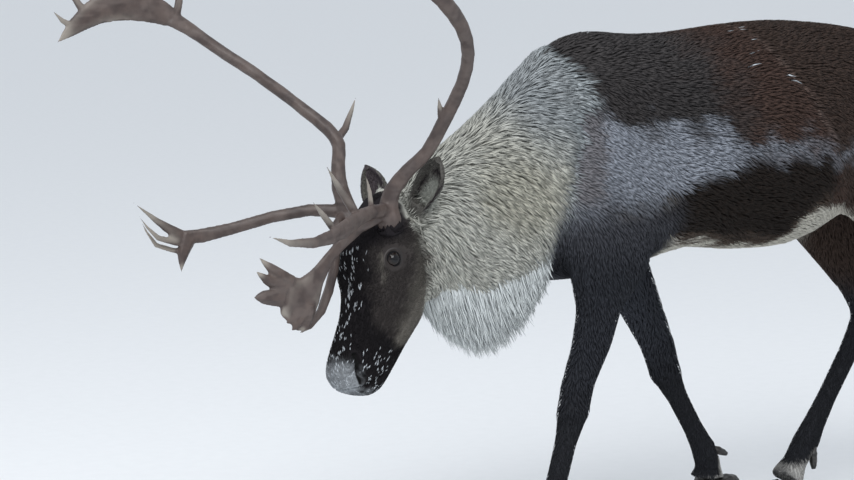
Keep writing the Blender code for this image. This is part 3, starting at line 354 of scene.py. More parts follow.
def spread(values, edges, rounds, share=0.5):
    """Values at vertices, evened out along the edges."""
    count = len(values)
    one, two = edges[:, 0], edges[:, 1]
    near = np.bincount(one, minlength=count) + np.bincount(two, minlength=count)
    near = np.maximum(near, 1)
    values = values.copy()
    flat = values.reshape(count, -1)
    for _ in range(rounds):
        for k in range(flat.shape[1]):
            total = np.bincount(one, flat[two, k], count) + np.bincount(two, flat[one, k], count)
            flat[:, k] += (total / near - flat[:, k]) * share
    return values


def give_values(obj, name, values):
    """A number or vector for each vertex, under a name that materials read."""
    if values.ndim == 1:
        layer = obj.data.attributes.new(name, "FLOAT", "POINT")
        layer.data.foreach_set("value", values.astype(np.float32))
    else:
        layer = obj.data.attributes.new(name, "FLOAT_VECTOR", "POINT")
        layer.data.foreach_set("vector", values.astype(np.float32).ravel())


def give_colour(obj, colours):
    layer = obj.data.attributes.new("coat_colour", "FLOAT_COLOR", "POINT")
    four = np.concatenate([colours, np.ones((len(colours), 1))], axis=1)
    layer.data.foreach_set("color", four.astype(np.float32).ravel())


# Skin

FLESH = ["head", "neck", "torso", "tail", "ear_left", "ear_right"]
FLESH += [f"{leg}_{part}" for leg in LEGS for part in ("upper", "lower")]
REGIONS = ("head", "neck", "torso", "tail", "ear", "upper", "lower")


def region_of(node):
    for region in REGIONS:
        if region in node:
            return REGIONS.index(region)
    raise ValueError(node)


class Surface:
    """A mesh as arrays, with a tree that finds the nearest place on it."""

    def __init__(self, points, triangles):
        self.points = points
        self.triangles = triangles
        self.tree = BVHTree.FromPolygons(points.tolist(), triangles.tolist())

    def nearest(self, targets):
        """The nearest places, and for each its triangle and weights of its corners."""
        found = [self.tree.find_nearest(target) for target in targets.tolist()]
        faces = np.array([hit[2] for hit in found])
        places = np.array([tuple(hit[0]) for hit in found])
        return places, faces, self.weights(places, faces)

    def weights(self, places, faces):
        a, b, c = (self.points[self.triangles[faces, k]] for k in range(3))
        one, two, to = b - a, c - a, places - a
        aa, ab, bb = (one * one).sum(1), (one * two).sum(1), (two * two).sum(1)
        ta, tb = (to * one).sum(1), (to * two).sum(1)
        scale = np.maximum(aa * bb - ab * ab, 1e-18)
        v = (bb * ta - ab * tb) / scale
        w = (aa * tb - ab * ta) / scale
        return np.clip(np.stack([1 - v - w, v, w], axis=1), 0, 1)

    def read(self, values, faces, weights):
        """Values of the vertices at places inside triangles."""
        corner = values[self.triangles[faces]]
        shape = weights.reshape(weights.shape + (1,) * (corner.ndim - 2))
        return (corner * shape).sum(axis=1) / np.maximum(shape.sum(axis=1), 1e-9)


def triangles_of(obj):
    obj.data.calc_loop_triangles()
    corners = np.empty(len(obj.data.loop_triangles) * 3, np.int32)
    obj.data.loop_triangles.foreach_get("vertices", corners)
    return corners.reshape(-1, 3)


def node_surface():
    """The flesh nodes as one surface, and the region of each of its triangles."""
    points, triangles, regions = [], [], []
    start = 0
    for node in FLESH:
        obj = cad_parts[node]
        own = points_of(obj)
        faces = triangles_of(obj)
        points.append(own)
        triangles.append(faces + start)
        regions.append(np.full(len(faces), region_of(node)))
        start += len(own)
    return Surface(np.concatenate(points), np.concatenate(triangles)), np.concatenate(regions)


def regions_at(points, nodes, node_regions):
    """How much each point belongs to each region, 1 or 0."""
    faces = nodes.nearest(points)[1]
    return np.eye(len(REGIONS))[node_regions[faces]]


def head_places(points):
    """Points in the head's own frame, as x forward to back, side and height."""
    return moved(TO_HEAD, points)


def behind_head(points):
    """How far back a place is, across the cut between skull and neck."""
    return (points[:, 0] - HOME.x + 0.2 * (points[:, 2] - HOME.z - POLL.z)) / 1.02


def head_blend(regions, points):
    """The regions with a slow change from the head's to the neck's."""
    both = regions[:, 0] + regions[:, 1]
    share = ramp(behind_head(points), *HEAD_TO_NECK)
    blended = regions.copy()
    blended[:, 0] = both * share
    blended[:, 1] = both * (1 - share)
    return blended


def eye_ways(way):
    """The middle of an eye and its own axes: out of the head, to the rear corner, up."""
    turned = FROM_HEAD.to_3x3()
    look = Vector((EYE_LOOK[0], way * EYE_LOOK[1], EYE_LOOK[2])).normalized()
    rear = Vector(EYE_REAR)
    rear = (rear - look * rear.dot(look)).normalized()
    up = look.cross(rear) * -way
    centre = FROM_HEAD @ Vector((EYE.x, way * EYE.y, EYE.z))
    return [np.array(v) for v in (centre, turned @ look, turned @ rear, turned @ up)]


def from_eye_axis(points, way):
    """How far points are from the line along which an eye looks; 1 behind the eye."""
    centre, look = eye_ways(way)[:2]
    away = points - centre
    out = away @ look
    off = np.linalg.norm(away - out[:, None] * look, axis=1)
    return np.where(out > -0.004, off, 1.0)


def bare_share(points):
    """1 where the skin has no coat to lie under: eyes, nostrils and antler bases."""
    share = ramp(from_nostril(head_places(points)), 0.008, 0.004)
    for side, way in SIDES.items():
        share = np.maximum(share, ramp(from_eye_axis(points, way), *EYE_BARE))
        base = np.array(middle(f"antler_{side}_base"))
        from_base = np.linalg.norm(points - base, axis=1)
        share = np.maximum(share, ramp(from_base, *BASE_BARE))
    return share


def body_skin(sizes):
    nodes = ["torso", "tail", "head"] + [n for n in FLESH if "upper" in n or "lower" in n]
    body = joined([copy_nodes("skin", nodes), neck_loft()])
    remeshed(body, sizes.body_cell)
    edges = edges_of(body)
    points = points_of(body)
    set_points(body, spread(points, edges, 3))
    return body


def head_skin(sizes):
    head = copy_nodes("head_form", ["head"])
    remeshed(head, sizes.head_cell)
    set_points(head, spread(points_of(head), edges_of(head), 2))
    return head


def ear_skin(side, flesh):
    """An ear whose root reaches into the head, in fine even faces."""
    ear = copy_nodes(f"ear_form_{side}", [f"ear_{side}"])
    points = points_of(ear)
    gap = np.linalg.norm(flesh.nearest(points)[0] - points, axis=1)
    seat = gap < EAR_SEAT
    inward = unit(points[seat].mean(axis=0) - points.mean(axis=0))
    points[seat] += inward * EAR_SINK
    set_points(ear, points)
    remeshed(ear, EAR_CELL)
    set_points(ear, spread(points_of(ear), edges_of(ear), 5))
    return with_modifier(ear, "DECIMATE", ratio=EAR_SHARE)


def coat_depth(regions, points, sizes):
    by_region = np.array([sizes.head_depth, sizes.neck_depth, sizes.trunk_depth, TAIL_DEPTH,
                          EAR_DEPTH, sizes.trunk_depth * THIGH_SHARE, sizes.leg_depth])
    return (regions @ by_region) * (1 - bare_share(points))


def shaped_face(points):
    """The head's skin with its sockets and nostrils sunk in."""
    own = head_places(points)
    slit = ramp(from_nostril(own), 0.0085, 0.0020) * ramp(own[:, 0], -0.585, -0.600)
    middle_line = np.array(FROM_HEAD.to_3x3() @ Vector((0.35, 0.0, 0.0)))
    side = np.array(FROM_HEAD.to_3x3() @ Vector((0.0, 1.0, 0.0)))
    inward = unit(middle_line - np.sign(own[:, 1:2]) * side)
    points = points + inward * (slit * NOSTRIL_DEEP)[:, None]
    for way in SIDES.values():
        centre = eye_ways(way)[0]
        away = points - centre
        under = unit(away) * (EYE_SIZE - EYE_CLEAR)
        share = ramp(from_eye_axis(points, way), *SOCKET)
        points = points + (centre + under - points) * share[:, None]
    return points


def make_skin(sizes):
    """The whole skin as one closed mesh that lies inside the nodes by the coat's depth."""
    nodes, node_regions = node_surface()
    body = body_skin(sizes)
    points = points_of(body)
    regions = spread(regions_at(points, nodes, node_regions), edges_of(body), 10)
    depth = coat_depth(head_blend(regions, points), points, sizes)
    depth = depth + ramp(behind_head(points), *BODY_UNDER[:2]) * BODY_UNDER[2]
    set_points(body, points - normals_of(body) * depth[:, None])

    head = head_skin(sizes)
    flesh = Surface(points_of(head), triangles_of(head))
    points = shaped_face(points_of(head))
    regions = spread(regions_at(points, nodes, node_regions), edges_of(head), 12)
    depth = coat_depth(head_blend(regions, points), points, sizes)
    sunk = sizes.neck_depth * HEAD_UNDER[2]
    depth = depth + ramp(behind_head(points), *HEAD_UNDER[:2]) * sunk
    set_points(head, points - normals_of(head) * depth[:, None])
    with_modifier(head, "DECIMATE", ratio=sizes.head_share)
    for form in [head] + [ear_skin(side, flesh) for side in SIDES]:
        with_modifier(body, "BOOLEAN", operation="UNION", object=form, solver="MANIFOLD")
        bpy.data.objects.remove(form)
    with_modifier(body, "TRIANGULATE")
    points = points_of(body)
    near = ramp(np.abs(behind_head(points) - SEAM_MIDDLE), SEAM_FAR, SEAM_NEAR)
    ears = regions_at(points, nodes, node_regions)[:, 4]
    ears = ramp(spread(ears, edges_of(body), 6), 0.02, 0.001)
    even = spread(points, edges_of(body), SEAM_ROUNDS)
    set_points(body, mix(points, even, near * ears * (1 - bare_share(points))))
    body.data.shade_smooth()
    return body, nodes, node_regions


# Lie of the coat

def lie_of_coat(points, normals, regions, edges):
    """The way in which the hair lies at each vertex of the skin."""
    design = points - np.array(HOME)
    side = np.sign(design[:, 1])
    up = ramp(normals[:, 2], 0.3, 0.9)
    zero = np.zeros(len(points))
    head_axis = np.array(FROM_HEAD.to_3x3() @ Vector((0.50, 0.0, 0.86)))
    back_axis = np.array(FROM_HEAD.to_3x3() @ Vector((0.95, 0.0, 0.05)))
    own = head_places(points)
    cheek = ramp(own[:, 0], -0.53, -0.44)
    ways = np.zeros((len(points), len(REGIONS), 3))
    ways[:, 0] = head_axis + (back_axis - head_axis) * cheek[:, None]
    ways[:, 1] = np.stack([0.80 + zero, zero, -0.62 + 1.1 * up], axis=1)
    ways[:, 2] = np.stack([1.0 + zero, zero, -0.30 * (1 - up)], axis=1)
    ways[:, 3] = (0.3, 0.0, -1.0)
    for name, way in SIDES.items():
        ear = design[:, 1] * way > 0
        root = middle("head") + Vector((0.0, 0.0, 0.05))
        ways[ear, 4] = np.array((middle(f"ear_{name}") - root).normalized())
    leg = ramp(design[:, 2], 0.80, 0.62)
    ways[:, 5] = np.stack([0.75 - 0.55 * leg, zero, -0.55 - 0.45 * leg], axis=1)
    ways[:, 6] = (0.10, 0.0, -1.0)
    lie = (ways * regions[:, :, None]).sum(axis=1)
    lie[:, 1] += side * 0.05 * ramp(design[:, 2], 0.9, 1.0)
    lie += 0.16 * np.stack([waves(points, 0.16, 31 + k) for k in range(3)], axis=1)
    lie = spread(lie, edges, 6)
    lie -= normals * (lie * normals).sum(axis=1, keepdims=True)
    return unit(lie)


# Markings

# Each line is a row of pairs. A line over x gives heights, a line over z gives x
BAND_TOP = [(-0.20, 0.926), (-0.133, 0.926), (-0.106, 0.907), (-0.059, 0.897), (-0.015, 0.899),
            (0.053, 0.890), (0.113, 0.885), (0.170, 0.853), (0.327, 0.850), (0.431, 0.831)]
BAND_LOW = [(-0.28, 0.650), (-0.244, 0.675), (-0.215, 0.693), (-0.175, 0.722), (-0.133, 0.738),
            (-0.079, 0.745), (-0.028, 0.749), (0.021, 0.766), (0.070, 0.784), (0.120, 0.805),
            (0.221, 0.822), (0.328, 0.820), (0.423, 0.809)]
BELLY_LINE = [(-0.10, 0.638), (-0.040, 0.645), (0.067, 0.656), (0.135, 0.653), (0.209, 0.640),
              (0.323, 0.626), (0.352, 0.650), (0.365, 0.682), (0.397, 0.708), (0.447, 0.716),
              (0.544, 0.689)]
CAPE_EDGE = [(0.64, -0.275), (0.70, -0.247), (0.75, -0.222), (0.855, -0.193), (0.915, -0.176),
             (0.938, -0.142), (0.984, -0.148), (1.007, -0.164), (1.022, -0.178), (1.028, -0.200)]
STRIPE_REAR = [(0.759, -0.180), (0.873, -0.149), (0.926, -0.136)]
CREASE = [(0.712, 0.501), (0.818, 0.443), (0.910, 0.381), (0.939, 0.365), (0.980, 0.332),
          (1.033, 0.301), (1.074, 0.278)]
# On the head, in its own frame
BLAZE_EDGE = [(0.497, -0.529), (0.519, -0.556), (0.548, -0.569), (0.587, -0.570),
              (0.625, -0.570), (0.664, -0.569), (0.701, -0.553), (0.729, -0.536)]
CHEEK_EDGE = [(0.506, -0.520), (0.544, -0.516), (0.580, -0.503), (0.616, -0.483),
              (0.654, -0.470), (0.692, -0.466)]
JAW_RIM = [(0.483, -0.529), (0.514, -0.509), (0.549, -0.488), (0.581, -0.462), (0.603, -0.445)]
NECK_EDGE = [(0.593, -0.430), (0.631, -0.434), (0.670, -0.438), (0.700, -0.448), (0.721, -0.472)]
FROST_EDGE = [(0.490, -0.612), (0.517, -0.606), (0.554, -0.586), (0.581, -0.572),
              (0.608, -0.563), (0.646, -0.562), (0.685, -0.560)]
TEAR_LINE = [(0.608, -0.549), (0.623, -0.551), (0.652, -0.553), (0.676, -0.549)]
NOSTRIL = [(-0.619, 0.486), (-0.616, 0.470), (-0.620, 0.450), (-0.614, 0.436)]


def along_line(line, places):
    """Values of a line of pairs at places."""
    at, value = (np.array(column) for column in zip(*line))
    return np.interp(places, at, value)


def from_nostril(own):
    """How far places in the head's frame are from the nearer nostril's slit."""
    path = np.array(NOSTRIL)
    nearest = np.full(len(own), 1.0)
    flat = own[:, (0, 2)]
    for one, two in zip(path, path[1:]):
        span = two - one
        share = np.clip(((flat - one) @ span) / (span @ span), 0, 1)
        nearest = np.minimum(nearest, np.linalg.norm(flat - one - share[:, None] * span, axis=1))
    return np.where(np.abs(own[:, 1]) > 0.018, nearest, 1.0)


def trunk_colours(points, rough, tone):
    """Back, band, flank and belly."""
    x, z = points[:, 0], points[:, 2]
    size = len(points)
    crease = x - along_line(CREASE, z)
    colour = np.tile(tone["back"], (size, 1))
    # Painted shade: below the topline the back's colour is made 0.22 darker, where the sides turn
    # away from the sky's light
    colour = colour * (1 - 0.22 * ramp(z, 1.02, 0.93))[:, None]
    colour = mix(colour, tone["rump"], ramp(x + 0.3 * (z - 1.0) + rough * 3, 0.06, 0.24))
    # Behind the crease the coat takes the haunch tone: reddish hair darkened as painted shade
    # behind the hip ridge
    colour = mix(colour, tone["haunch"], ramp(crease + rough, -0.004, 0.006))
    # A pale line along the crease: a painted highlight on the ridge of the thigh's fold
    line = ramp(np.abs(crease + 0.004 + rough * 0.4), 0.007, 0.001) * ramp(z, 0.70, 0.80)
    colour = mix(colour, np.array((0.15, 0.115, 0.10)), line * 0.55)

    top = z - along_line(BAND_TOP, x)
    low = z - along_line(BAND_LOW, x)
    # The front of the lower flank takes the shoulder tone, a painted bluish sheen on the dark hair
    lower = mix(np.tile(tone["shoulder"], (size, 1)), tone["flank"],
                ramp(x + 0.4 * (z - 0.70) + rough, -0.10, 0.02))
    fawn = ramp(low, -0.030, -0.004) * ramp(x, -0.17, -0.11) * ramp(x, 0.04, -0.02)
    lower = mix(lower, tone["fawn"], fawn * 0.6)
    belly = z - along_line(BELLY_LINE, x)
    lower = mix(lower, tone["tan"], ramp(belly + rough, 0.034, 0.004) * ramp(x, -0.14, 0.0))
    colour = mix(colour, lower, ramp(low + rough, 0.008, -0.010) * ramp(x, 0.50, 0.40))
    band = ramp(top + rough * 2.2, 0.026, -0.024) * ramp(low + rough * 1.6, -0.018, 0.018)
    # The band's own colour, with a copy 0.74 as bright as painted shade at its low front end and
    # towards its rear
    shade = mix(np.tile(tone["band"], (size, 1)), tone["band"] * 0.74,
                np.maximum(ramp(x, -0.10, -0.16) * ramp(z, 0.84, 0.76), ramp(x, 0.10, 0.20)))
    colour = mix(colour, shade, band * ramp(x, 0.58, 0.46) * 0.95)
    under = ramp(belly + rough * 1.4, 0.006, -0.008) * ramp(x, -0.14, -0.04)
    return mix(colour, tone["belly"], under * ramp(x, 0.66, 0.58))


def neck_colours(points, rough, tone):
    """Cape, nape and throat."""
    x, z = points[:, 0], points[:, 2]
    size = len(points)
    height = z + 0.55 * x
    shade = mix(np.tile(tone["cape"], (size, 1)), tone["nape"], ramp(height + rough, 0.66, 0.80))
    warm = ramp(np.hypot(x + 0.34, (z - 0.78) * 1.3) + rough, 0.14, 0.04)
    shade = mix(shade, tone["cape"] * np.array((0.90, 0.88, 0.82)), warm)
    shade = mix(shade, tone["cape"] * np.array((0.70, 0.78, 0.90)), ramp(
        x - along_line(CAPE_EDGE, z) + rough, -0.045, 0.0) * 0.8)
    fine = waves(points * (0.6, 1.0, 0.5), 0.012, 8)
    # Dark gaps between the clumps of hair on the nape: painted shade
    shaded_gaps = ramp(np.abs(waves(points * (1.0, 0.6, 0.7), 0.034, 14)), 0.16, 0.02)
    shaded_gaps = shaded_gaps * ramp(height, 0.60, 0.72) * ramp(x, -0.24, -0.36)
    shade = shade * (1 + 0.07 * fine - 0.34 * shaded_gaps)[:, None]
    throat = ramp(z - 0.50 * x + rough, 0.83, 0.78)
    return mix(shade, tone["mane"], throat * 0.7)


def head_colours(own, rough, tone):
    """Blaze, cheek, jaw and the frosted nose."""
    x, z = own[:, 0], own[:, 2]
    size = len(own)
    blaze = x - along_line(BLAZE_EDGE, z)
    cheek = x - along_line(CHEEK_EDGE, z)
    head = mix(np.tile(tone["blaze"], (size, 1)), tone["cheek"], ramp(blaze + rough, -0.008, 0.016))
    head = mix(head, tone["jaw"], ramp(cheek + rough, -0.016, 0.024))
    brow = ramp(z - 0.25 * (x + 0.50), 0.688, 0.715) * ramp(x, -0.465, -0.495)
    head = mix(head, tone["blaze"] * 1.6, brow)
    rim = ramp(x - along_line(JAW_RIM, z) + rough * 0.4, -0.012, 0.004) * ramp(z, 0.47, 0.50)
    head = mix(head, tone["jaw"] * 1.9, rim * ramp(z, 0.625, 0.60) * 0.8)
    muzzle = ramp(z + 0.25 * (x + 0.55) + rough, 0.515, 0.488)
    head = mix(head, tone["blaze"], muzzle)
    tear = ramp(np.abs(x - along_line(TEAR_LINE, z) + 0.002), 0.0045, 0.001)
    head = mix(head, tone["jaw"] * 1.1, tear * ramp(z, 0.600, 0.612) * ramp(z, 0.682, 0.670))
    nose = ramp(z + 0.5 * (x + 0.62) + rough, 0.478, 0.440) * ramp(x, -0.602, -0.622)
    chin = ramp(z + rough, 0.426, 0.412) * ramp(x, -0.57, -0.60)
    return mix(head, tone["frost"] * 0.55, np.clip(nose * 0.62 + chin * 0.5, 0, 0.75))


def ear_colours(points, normals, tone):
    """Dark edge in front of the pale rear rim, painted as a shadow line of the ear's fold, the pale
    rim, and the cups.
    """
    colour = np.tile(tone["ear"], (len(points), 1))
    for side, way in SIDES.items():
        low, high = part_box(f"ear_{side}")
        own = head_places(points)
        mine = own[:, 1] * way > 0
        corners = head_places(np.array([low, high]))
        back = (own[:, 0] - corners[:, 0].min()) / abs(corners[0, 0] - corners[1, 0])
        cup = ramp((normals @ np.array(FROM_HEAD.to_3x3() @ Vector((-0.9, way * 0.44, 0.0)))),
                   0.10, 0.35)
        shade = mix(np.tile(tone["ear"], (len(points), 1)), tone["ear_cup"],
                    cup * (1.0 if way > 0 else 0.15))
        if way < 0:
            shade = mix(shade, tone["ear_lip"], ramp(back, 0.58, 0.70))
            # A near-black line just in front of the pale rim: a painted shadow line along the ear's
            # fold
            shade = mix(shade, tone["ear_cup"] * 0.4, ramp(np.abs(back - 0.54), 0.06, 0.02))
        colour[mine] = shade[mine]
    return colour


def markings(points, normals, regions, colours):
    """The coat's colour at points of the skin, from their place alone."""
    x, y, z = (points[:, k] for k in range(3))
    tone = {name: np.array(getattr(colours, name)) for name in colours.__annotations__}
    rough = (waves(points * (0.4, 1.0, 1.0), 0.045, 3) * 0.008
             + waves(points * (0.3, 1.0, 1.0), 0.016, 4) * 0.005)
    size = len(points)
    colour = trunk_colours(points, rough, tone)

    # At the top of the fore legs the shoulder tone gives a painted bluish sheen
    shank = mix(np.tile(tone["leg"], (size, 1)), tone["shoulder"],
                ramp(z, 0.60, 0.74) * ramp(x, 0.10, 0.0) * 0.6)
    # The far side's legs are painted 1.9 times as light: painted light on the same dark hair as the
    # near legs
    shank = mix(shank, tone["leg"] * 1.9, ramp(y, 0.02, 0.05) * ramp(x, 0.30, 0.10) * 0.8)
    shank = mix(shank, tone["leg"] * np.array((0.7, 0.68, 0.66)), ramp(z, 0.45, 0.30))
    own_belly = ramp(z - along_line(BELLY_LINE, x) + rough, 0.004, -0.006)
    groin = own_belly * ramp(x, 0.33, 0.37) * ramp(x, 0.60, 0.55) * ramp(z, 0.60, 0.64)
    leg = np.clip(regions[:, 5] * ramp(z + 0.25 * ramp(x, 0.2, 0.4), 0.80, 0.68)
                  + regions[:, 6], 0, 1) * (1 - groin)
    colour = mix(colour, shank, leg)
    top = 0.112 + 0.045 * ramp(normals[:, 0], 0.0, 0.7)
    ring = ramp(z + rough * 0.4, top, top - 0.016) * regions[:, 6]
    colour = mix(colour, tone["sock"], ring * 0.8 * ramp(normals[:, 0], -1.1, -0.3))

    cape = ramp(x - along_line(CAPE_EDGE, z) + rough * 1.3, 0.010, -0.012)
    cape = np.maximum(cape, regions[:, 1] * ramp(x, -0.20, -0.30))
    stripe = ramp(x - along_line(STRIPE_REAR, z) + rough, 0.010, -0.006) * (1 - cape)
    stripe = stripe * ramp(z, 0.74, 0.77) * ramp(z, 0.935, 0.920)
    colour = mix(colour, tone["patch"], stripe * 0.85)
    colour = mix(colour, neck_colours(points, rough, tone), cape * (1 - leg))

    own = head_places(points)
    behind = own[:, 0] - along_line(NECK_EDGE, own[:, 2])
    head = np.clip(regions[:, 0] + regions[:, 1] * ramp(x, -0.42, -0.46), 0, 1)
    head = head * ramp(behind + rough, 0.010, -0.012)
    colour = mix(colour, head_colours(own, rough, tone), head)
    # The nostrils' slits are painted near black: painted shade in their hollows
    colour = mix(colour, np.full(3, 0.004), ramp(from_nostril(own), 0.0075, 0.0045)
                 * ramp(own[:, 0], -0.58, -0.60))
    colour = mix(colour, ear_colours(points, normals, tone), regions[:, 4])
    tail = mix(np.tile(tone["belly"], (size, 1)), tone["rump"], ramp(normals[:, 0], 0.1, 0.6))
    colour = mix(colour, tail, regions[:, 3])
    return np.clip(colour, 0.004, 0.9)


def flecks(points, own, regions, draw):
    """Which tufts are frosted, as True or False."""
    x, z = own[:, 0], own[:, 2]
    bridge = ramp(x - along_line(FROST_EDGE, z), -0.006, -0.020) * ramp(z, 0.700, 0.675)
    bridge = bridge * ramp(z, 0.47, 0.50)
    nose = ramp(z, 0.500, 0.470) * ramp(x, -0.52, -0.55) * 0.8
    clumps = ramp(waves(points, 0.016, 51) + 0.6 * waves(points, 0.007, 52), 0.10, 0.55)
    chance = np.maximum(bridge, nose) * clumps * regions[:, 0] * 0.6
    speckled = ramp(waves(points, 0.013, 53), 0.85, 1.1) * ramp(points[:, 2], 0.86, 0.90)
    chance = chance + speckled * ramp(points[:, 0], 0.15, 0.20) * ramp(
        points[:, 0], 0.36, 0.30) * 0.12
    return draw.uniform(size=len(points)) < chance


# Locks of hair as meshes

PATCH = 0.003


def lock_mesh(name, spines, outward, half, thick, roots, tips, seeds, places):
    """One mesh of tapered, flat locks. Each follows its own row of spine points."""
    count, steps = spines.shape[0], spines.shape[1] - 1
    along = np.gradient(spines, axis=1)
    across = unit(np.cross(outward, along))
    out = unit(np.cross(along, across))
    left = spines - across * half[..., None]
    right = spines + across * half[..., None]
    top = spines + out * thick[..., None]
    rings = np.stack([left, right, top], axis=2)[:, :steps]
    per = steps * 3 + 1
    points = np.concatenate([rings.reshape(count, steps * 3, 3), spines[:, steps:]], axis=1)

    quads, triangles = [], [(0, 2, 1)]
    for j in range(steps - 1):
        a, b = 3 * j, 3 * j + 3
        quads += [(a, a + 1, b + 1, b), (a + 1, a + 2, b + 2, b + 1), (a + 2, a, b, b + 2)]
    last, tip = 3 * (steps - 1), steps * 3
    triangles += [(last, last + 1, tip), (last + 1, last + 2, tip), (last + 2, last, tip)]
    shape = np.array([corner for face in quads + triangles for corner in face])
    sizes = np.array([len(face) for face in quads + triangles])
    corners = (shape[None, :] + (np.arange(count) * per)[:, None]).ravel()
    totals = np.tile(sizes, count)

    mesh = bpy.data.meshes.new(name)
    mesh.vertices.add(count * per)
    mesh.vertices.foreach_set("co", points.astype(np.float32).ravel())
    mesh.loops.add(len(corners))
    mesh.loops.foreach_set("vertex_index", corners.astype(np.int32))
    mesh.polygons.add(len(totals))
    starts = np.concatenate([[0], np.cumsum(totals)[:-1]])
    mesh.polygons.foreach_set("loop_start", starts.astype(np.int32))
    mesh.polygons.foreach_set("use_smooth", np.ones(len(totals), bool))
    mesh.update()

    obj = linked(name, mesh)
    level = np.repeat(np.arange(steps + 1) / steps, 3)[:per]
    wide = np.tile((0.0, 1.0, 0.5), steps + 1)[:per]
    wide[-1] = 0.5
    blend = level[None, :, None]
    colour = roots[:, None, :] + (tips - roots)[:, None, :] * blend
    give_colour(obj, colour.reshape(-1, 3))
    strand = np.stack([np.broadcast_to(wide, (count, per)), np.broadcast_to(level, (count, per)),
                       np.broadcast_to(seeds[:, None], (count, per))], axis=2)
    give_values(obj, "strand", strand.reshape(-1, 3))
    patch = places[:, None, :] + (np.stack([wide, level], axis=1) - 0.5)[None] * PATCH
    chart = mesh.uv_layers.new(name="OFBake")
    chart.data.foreach_set("uv", patch.reshape(-1, 2)[corners].astype(np.float32).ravel())
    return obj


class Pelt:
    """The skin with what grows on it: its regions, lie, markings and chart."""

    def __init__(self, skin, nodes, node_regions, colours):
        points = points_of(skin)
        self.surface = Surface(points, triangles_of(skin))
        edges = edges_of(skin)
        self.regions = head_blend(spread(regions_at(points, nodes, node_regions), edges, 8),
                                  points)
        self.normals = unit(spread(normals_of(skin), edges, 2))
        self.lie = lie_of_coat(points, self.normals, self.regions, edges)
        self.colours = colours
        self.bare = bare_share(points)
        self.chart = Chart(skin)

    def sow(self, spacing, draw):
        """Roots spread over the skin, one for each square of the spacing at its place."""
        corner = self.surface.points[self.surface.triangles]
        area = np.linalg.norm(np.cross(corner[:, 1] - corner[:, 0],
                                       corner[:, 2] - corner[:, 0]), axis=1) / 2
        wanted = area / np.mean(spacing[self.surface.triangles], axis=1) ** 2
        number = np.floor(wanted + draw.uniform(size=len(wanted))).astype(int)
        faces = np.repeat(np.arange(len(wanted)), number)
        one, two = draw.uniform(size=(2, len(faces)))
        fold = one + two > 1
        one, two = np.where(fold, 1 - one, one), np.where(fold, 1 - two, two)
        weights = np.stack([1 - one - two, one, two], axis=1)
        places = (corner[faces] * weights[:, :, None]).sum(axis=1)
        return places, faces, weights

    def at(self, values, faces, weights):
        return self.surface.read(values, faces, weights)

    def comb(self, places, faces, weights, lengths, depths, rise, turn, draw):
        """Spines that start in the skin and follow the lie, and their outward ways."""
        steps = len(rise) - 1
        spine, outward = [], []
        normal = unit(self.at(self.normals, faces, weights))
        spine.append(places + normal * (depths * rise[0])[:, None])
        outward.append(normal)
        ground = places
        for j in range(1, steps + 1):
            lie = unit(self.at(self.lie, faces, weights))
            side = np.cross(normal, lie)
            lie = lie * np.cos(turn)[:, None] + side * np.sin(turn)[:, None]
            ground = ground + lie * (lengths / steps)[:, None]
            ground, faces, weights = self.surface.nearest(ground)
            normal = unit(self.at(self.normals, faces, weights))
            lift = depths * rise[j] * draw.uniform(0.85, 1.12, len(depths))
            spine.append(ground + normal * lift[:, None])
            outward.append(normal)
        return np.stack(spine, axis=1), np.stack(outward, axis=1)


class Chart:
    """An unwrap of the skin's own shape, which gives each place a spot on a flat map."""

    CELL = 0.030

    def __init__(self, skin):
        plain = skin.copy()
        plain.data = skin.data.copy()
        bpy.context.scene.collection.objects.link(plain)
        remeshed(plain, self.CELL)
        with_modifier(plain, "TRIANGULATE")
        bpy.ops.object.mode_set(mode="EDIT")
        bpy.ops.mesh.select_all(action="SELECT")
        bpy.ops.uv.smart_project(angle_limit=math.radians(66), island_margin=0.004)
        bpy.ops.object.mode_set(mode="OBJECT")
        layer = plain.data.uv_layers.active.data
        spots = np.empty(len(layer) * 2)
        layer.foreach_get("uv", spots)
        loops = np.empty(len(plain.data.polygons) * 3, np.int32)
        plain.data.loops.foreach_get("vertex_index", loops)
        self.surface = Surface(points_of(plain), loops.reshape(-1, 3))
        self.spots = spots.reshape(-1, 3, 2)
        bpy.data.objects.remove(plain)

    def spot(self, places):
        _, faces, weights = self.surface.nearest(places)
        found = (self.spots[faces] * weights[:, :, None]).sum(axis=1)
        return np.clip(found, 0.002, 0.998)


# Materials

class Value:
    """A socket's output on which Python's own signs add Math nodes."""

    def __init__(self, shader, socket):
        self.shader = shader
        self.socket = socket

    def _math(self, operation, *values):
        return self.shader.node("ShaderNodeMath", {"operation": operation}, values)

    def __add__(self, other):
        return self._math("ADD", self, other)

    def __mul__(self, other):
        return self._math("MULTIPLY", self, other)

    __radd__ = __add__
    __rmul__ = __mul__

    def ramp(self, start, end):
        """0 before start, 1 after end, smooth between."""
        return self.shader.node("ShaderNodeMapRange", {"interpolation_type": "SMOOTHSTEP"},
                                {"Value": self, "From Min": start, "From Max": end}, "Result")


